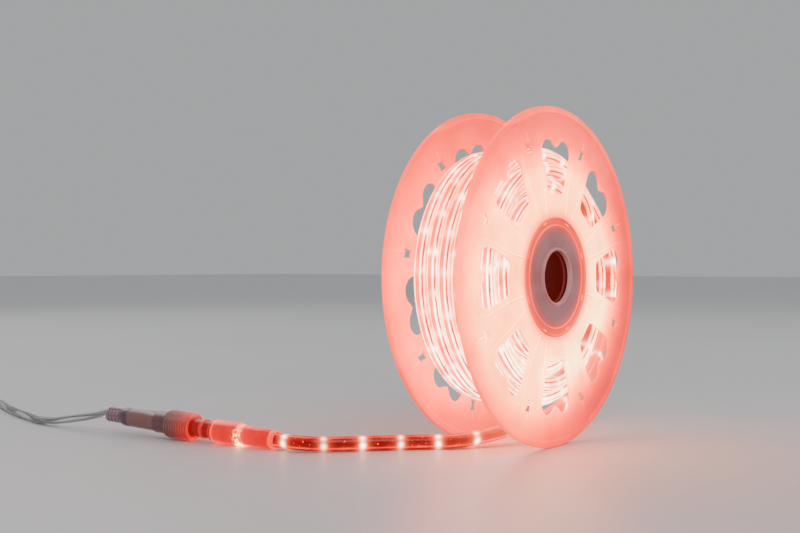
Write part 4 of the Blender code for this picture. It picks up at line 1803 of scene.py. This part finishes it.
FAR_GLOW = glow_stops(
    (0.000, 0.10, 0.004), (0.340, 0.30, 0.01), (0.360, 5.00, 0.40), (0.620, 6.30, 0.55),
    (0.700, 5.00, 0.32), (0.800, 3.80, 0.15), (0.900, 3.00, 0.09), (0.950, 2.60, 0.07),
    (0.965, 3.30, 0.12), (1.000, 2.50, 0.07))
RING_GLOW = glow_stops(
    (0.000, 2.8, 0.16, 0.6), (0.310, 2.8, 0.16, 0.6), (0.330, 2.6, 0.11), (1.000, 2.6, 0.11))
CORE_GLOW = glow_stops((0.000, 0.05, 0.002), (0.500, 0.07, 0.003), (1.000, 0.07, 0.003))
LIT_HALF_GLOW = glow_stops(
    (0.0, 2.4, 0.03), (0.022, 2.8, 0.06), (0.028, 1.1, 0.0), (0.120, 1.3, 0.0), (0.165, 1.9, 0.02),
    (0.188, 4.5, 0.30), (0.194, 2.4, 0.05), (0.202, 1.3, 0.0), (0.255, 1.1, 0.0), (0.320, 1.3, 0.0),
    (0.334, 3.0, 0.12), (0.341, 0.5, 0.0), (0.352, 1.0, 0.0), (0.358, 0.22, 0.0), (0.388, 0.22, 0.0),
    (0.393, 1.0, 0.0), (0.407, 1.0, 0.0), (0.413, 0.28, 0.0), (0.460, 0.25, 0.0))
NUT_GLOW = glow_stops(
    (0.46, 1.1, 0.003), (0.500, 0.75, 0.002), (0.535, 0.28, 0.002), (0.58, 0.07, 0.002), (0.62, 0.03, 0.002))
# Base colour of the nut: its own pinkish tone, redder at the rope's end where the red glow is painted into it
# too.
NUT_TINT = ((0.46, (0.34, 0.06, 0.05)), (0.53, (0.40, 0.19, 0.16)), (0.61, (0.38, 0.23, 0.20)))
CLEAR_HALF_GLOW = glow_stops((0.60, 0.04, 0.002), (1.0, 0.01, 0.002))
CLEAR_HALF_TINT = (
    (0.605, (0.12, 0.075, 0.095)), (0.680, (0.15, 0.085, 0.10)), (0.690, (0.25, 0.13, 0.12)),
    (0.842, (0.27, 0.15, 0.15)), (0.852, (0.10, 0.07, 0.11)), (0.900, (0.14, 0.08, 0.12)),
    (0.912, (0.40, 0.25, 0.30)), (1.000, (0.38, 0.27, 0.33)))

LEAD_SHEATH = CloudedFinish(
    "clear_lead_sheath", (0.80, 0.80, 0.82), (0.93, 0.93, 0.94), (60.0, 3.0), (300.0, 2.0, 0.0001, 0.2),
    {"Roughness": 0.06, "Transmission Weight": 0.92, "IOR": 1.40})
PLUG_PLASTIC = CloudedFinish(
    "plug_plastic_milky", (0.62, 0.61, 0.60), (0.80, 0.79, 0.77), (80.0, 4.0), (1200.0, 2.0, 0.00008, 0.3),
    {"Roughness": 0.24, "Transmission Weight": 0.35, "IOR": 1.46, "Coat Weight": 0.4, "Coat Roughness": 0.1})
CONTACT_METAL = CloudedFinish(
    "contact_metal", (0.24, 0.208, 0.192), (0.30, 0.26, 0.24), (1500.0, 3.0), (1500.0, 3.0, 0.00005, 0.3),
    {"Roughness": 0.35, "Metallic": 1.0})
PIN_METAL = CloudedFinish(
    "plated_pin_metal", (0.656, 0.64, 0.608), (0.82, 0.80, 0.76), (1500.0, 3.0), (1500.0, 3.0, 0.00005, 0.3),
    {"Roughness": 0.22, "Metallic": 1.0})
PALE_FLOOR = CloudedFinish(
    "pale_floor", (0.68, 0.68, 0.68), (0.71, 0.71, 0.71), (3.0, 2.0), (3.0, 2.0, 0.0, 0.0),
    {"Roughness": 0.42, "Specular IOR Level": 0.4})


def main() -> None:
    """Build the studio and every sub-assembly, and log the flange pieces' faces and the lengths of the ropes
    and the lead.
    """
    logging.basicConfig(level=logging.INFO, format="%(message)s")
    studio = Studio()
    studio.camera()

    wound = LitRope("wound_lit_rope", WOUND_STRIPES, (0.70, 0.32, 0.28), 0.0030, 0.30, whiter=1.0)
    free = LitRope("free_lit_rope", FREE_STRIPES, (0.60, 0.40, 0.40), 0.0021, 0.16, reel_share=0.48)
    winding = Winding()
    winding.build(wound.material())
    connector = Connector()
    tail = RopeTail(winding, connector)
    tail_path = tail.path()
    free_rope = tail.build(free.material(), tail_path)
    connector_pieces = connector.build()
    lead = PowerLead(connector)
    lead_path = lead.path()
    lead_piece = lead.build(lead_path)
    plug_pieces = MainsPlug(lead.entry()).build()
    LOG.info("free rope %.3f m, lead %.3f m", path_length(tail_path), path_length(lead_path))

    for flange, glow in ((Flange(Side.NEAR, 0.0), NEAR_GLOW), (Flange(Side.FAR, FAR_PATTERN_TURN), FAR_GLOW)):
        label = flange.side.name.lower()
        frosted = FlangePlastic(f"{label}_frosted_plastic", glow).material()
        # The raised beads take a brighter copy of the glow with strong painted side light and shade; the thin
        # rings a milder painted side shade.
        raised = FlangePlastic(f"{label}_raised_plastic", glow, 1.30, 1.1).material()
        thin_ring = FlangePlastic(f"{label}_ring_plastic", RING_GLOW, 1.0, 0.5).material()
        for piece in flange.build(BeadMaker(f"{label} relief", raised), frosted, thin_ring):
            LOG.info("%s: %d faces", piece.name, len(piece.data.polygons))
    dress(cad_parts["reel_core"], FlangePlastic("core_plastic_lit", CORE_GLOW, tips=1.0).material())

    studio.floor()
    studio.light()


if __name__ == "__main__":
    main()
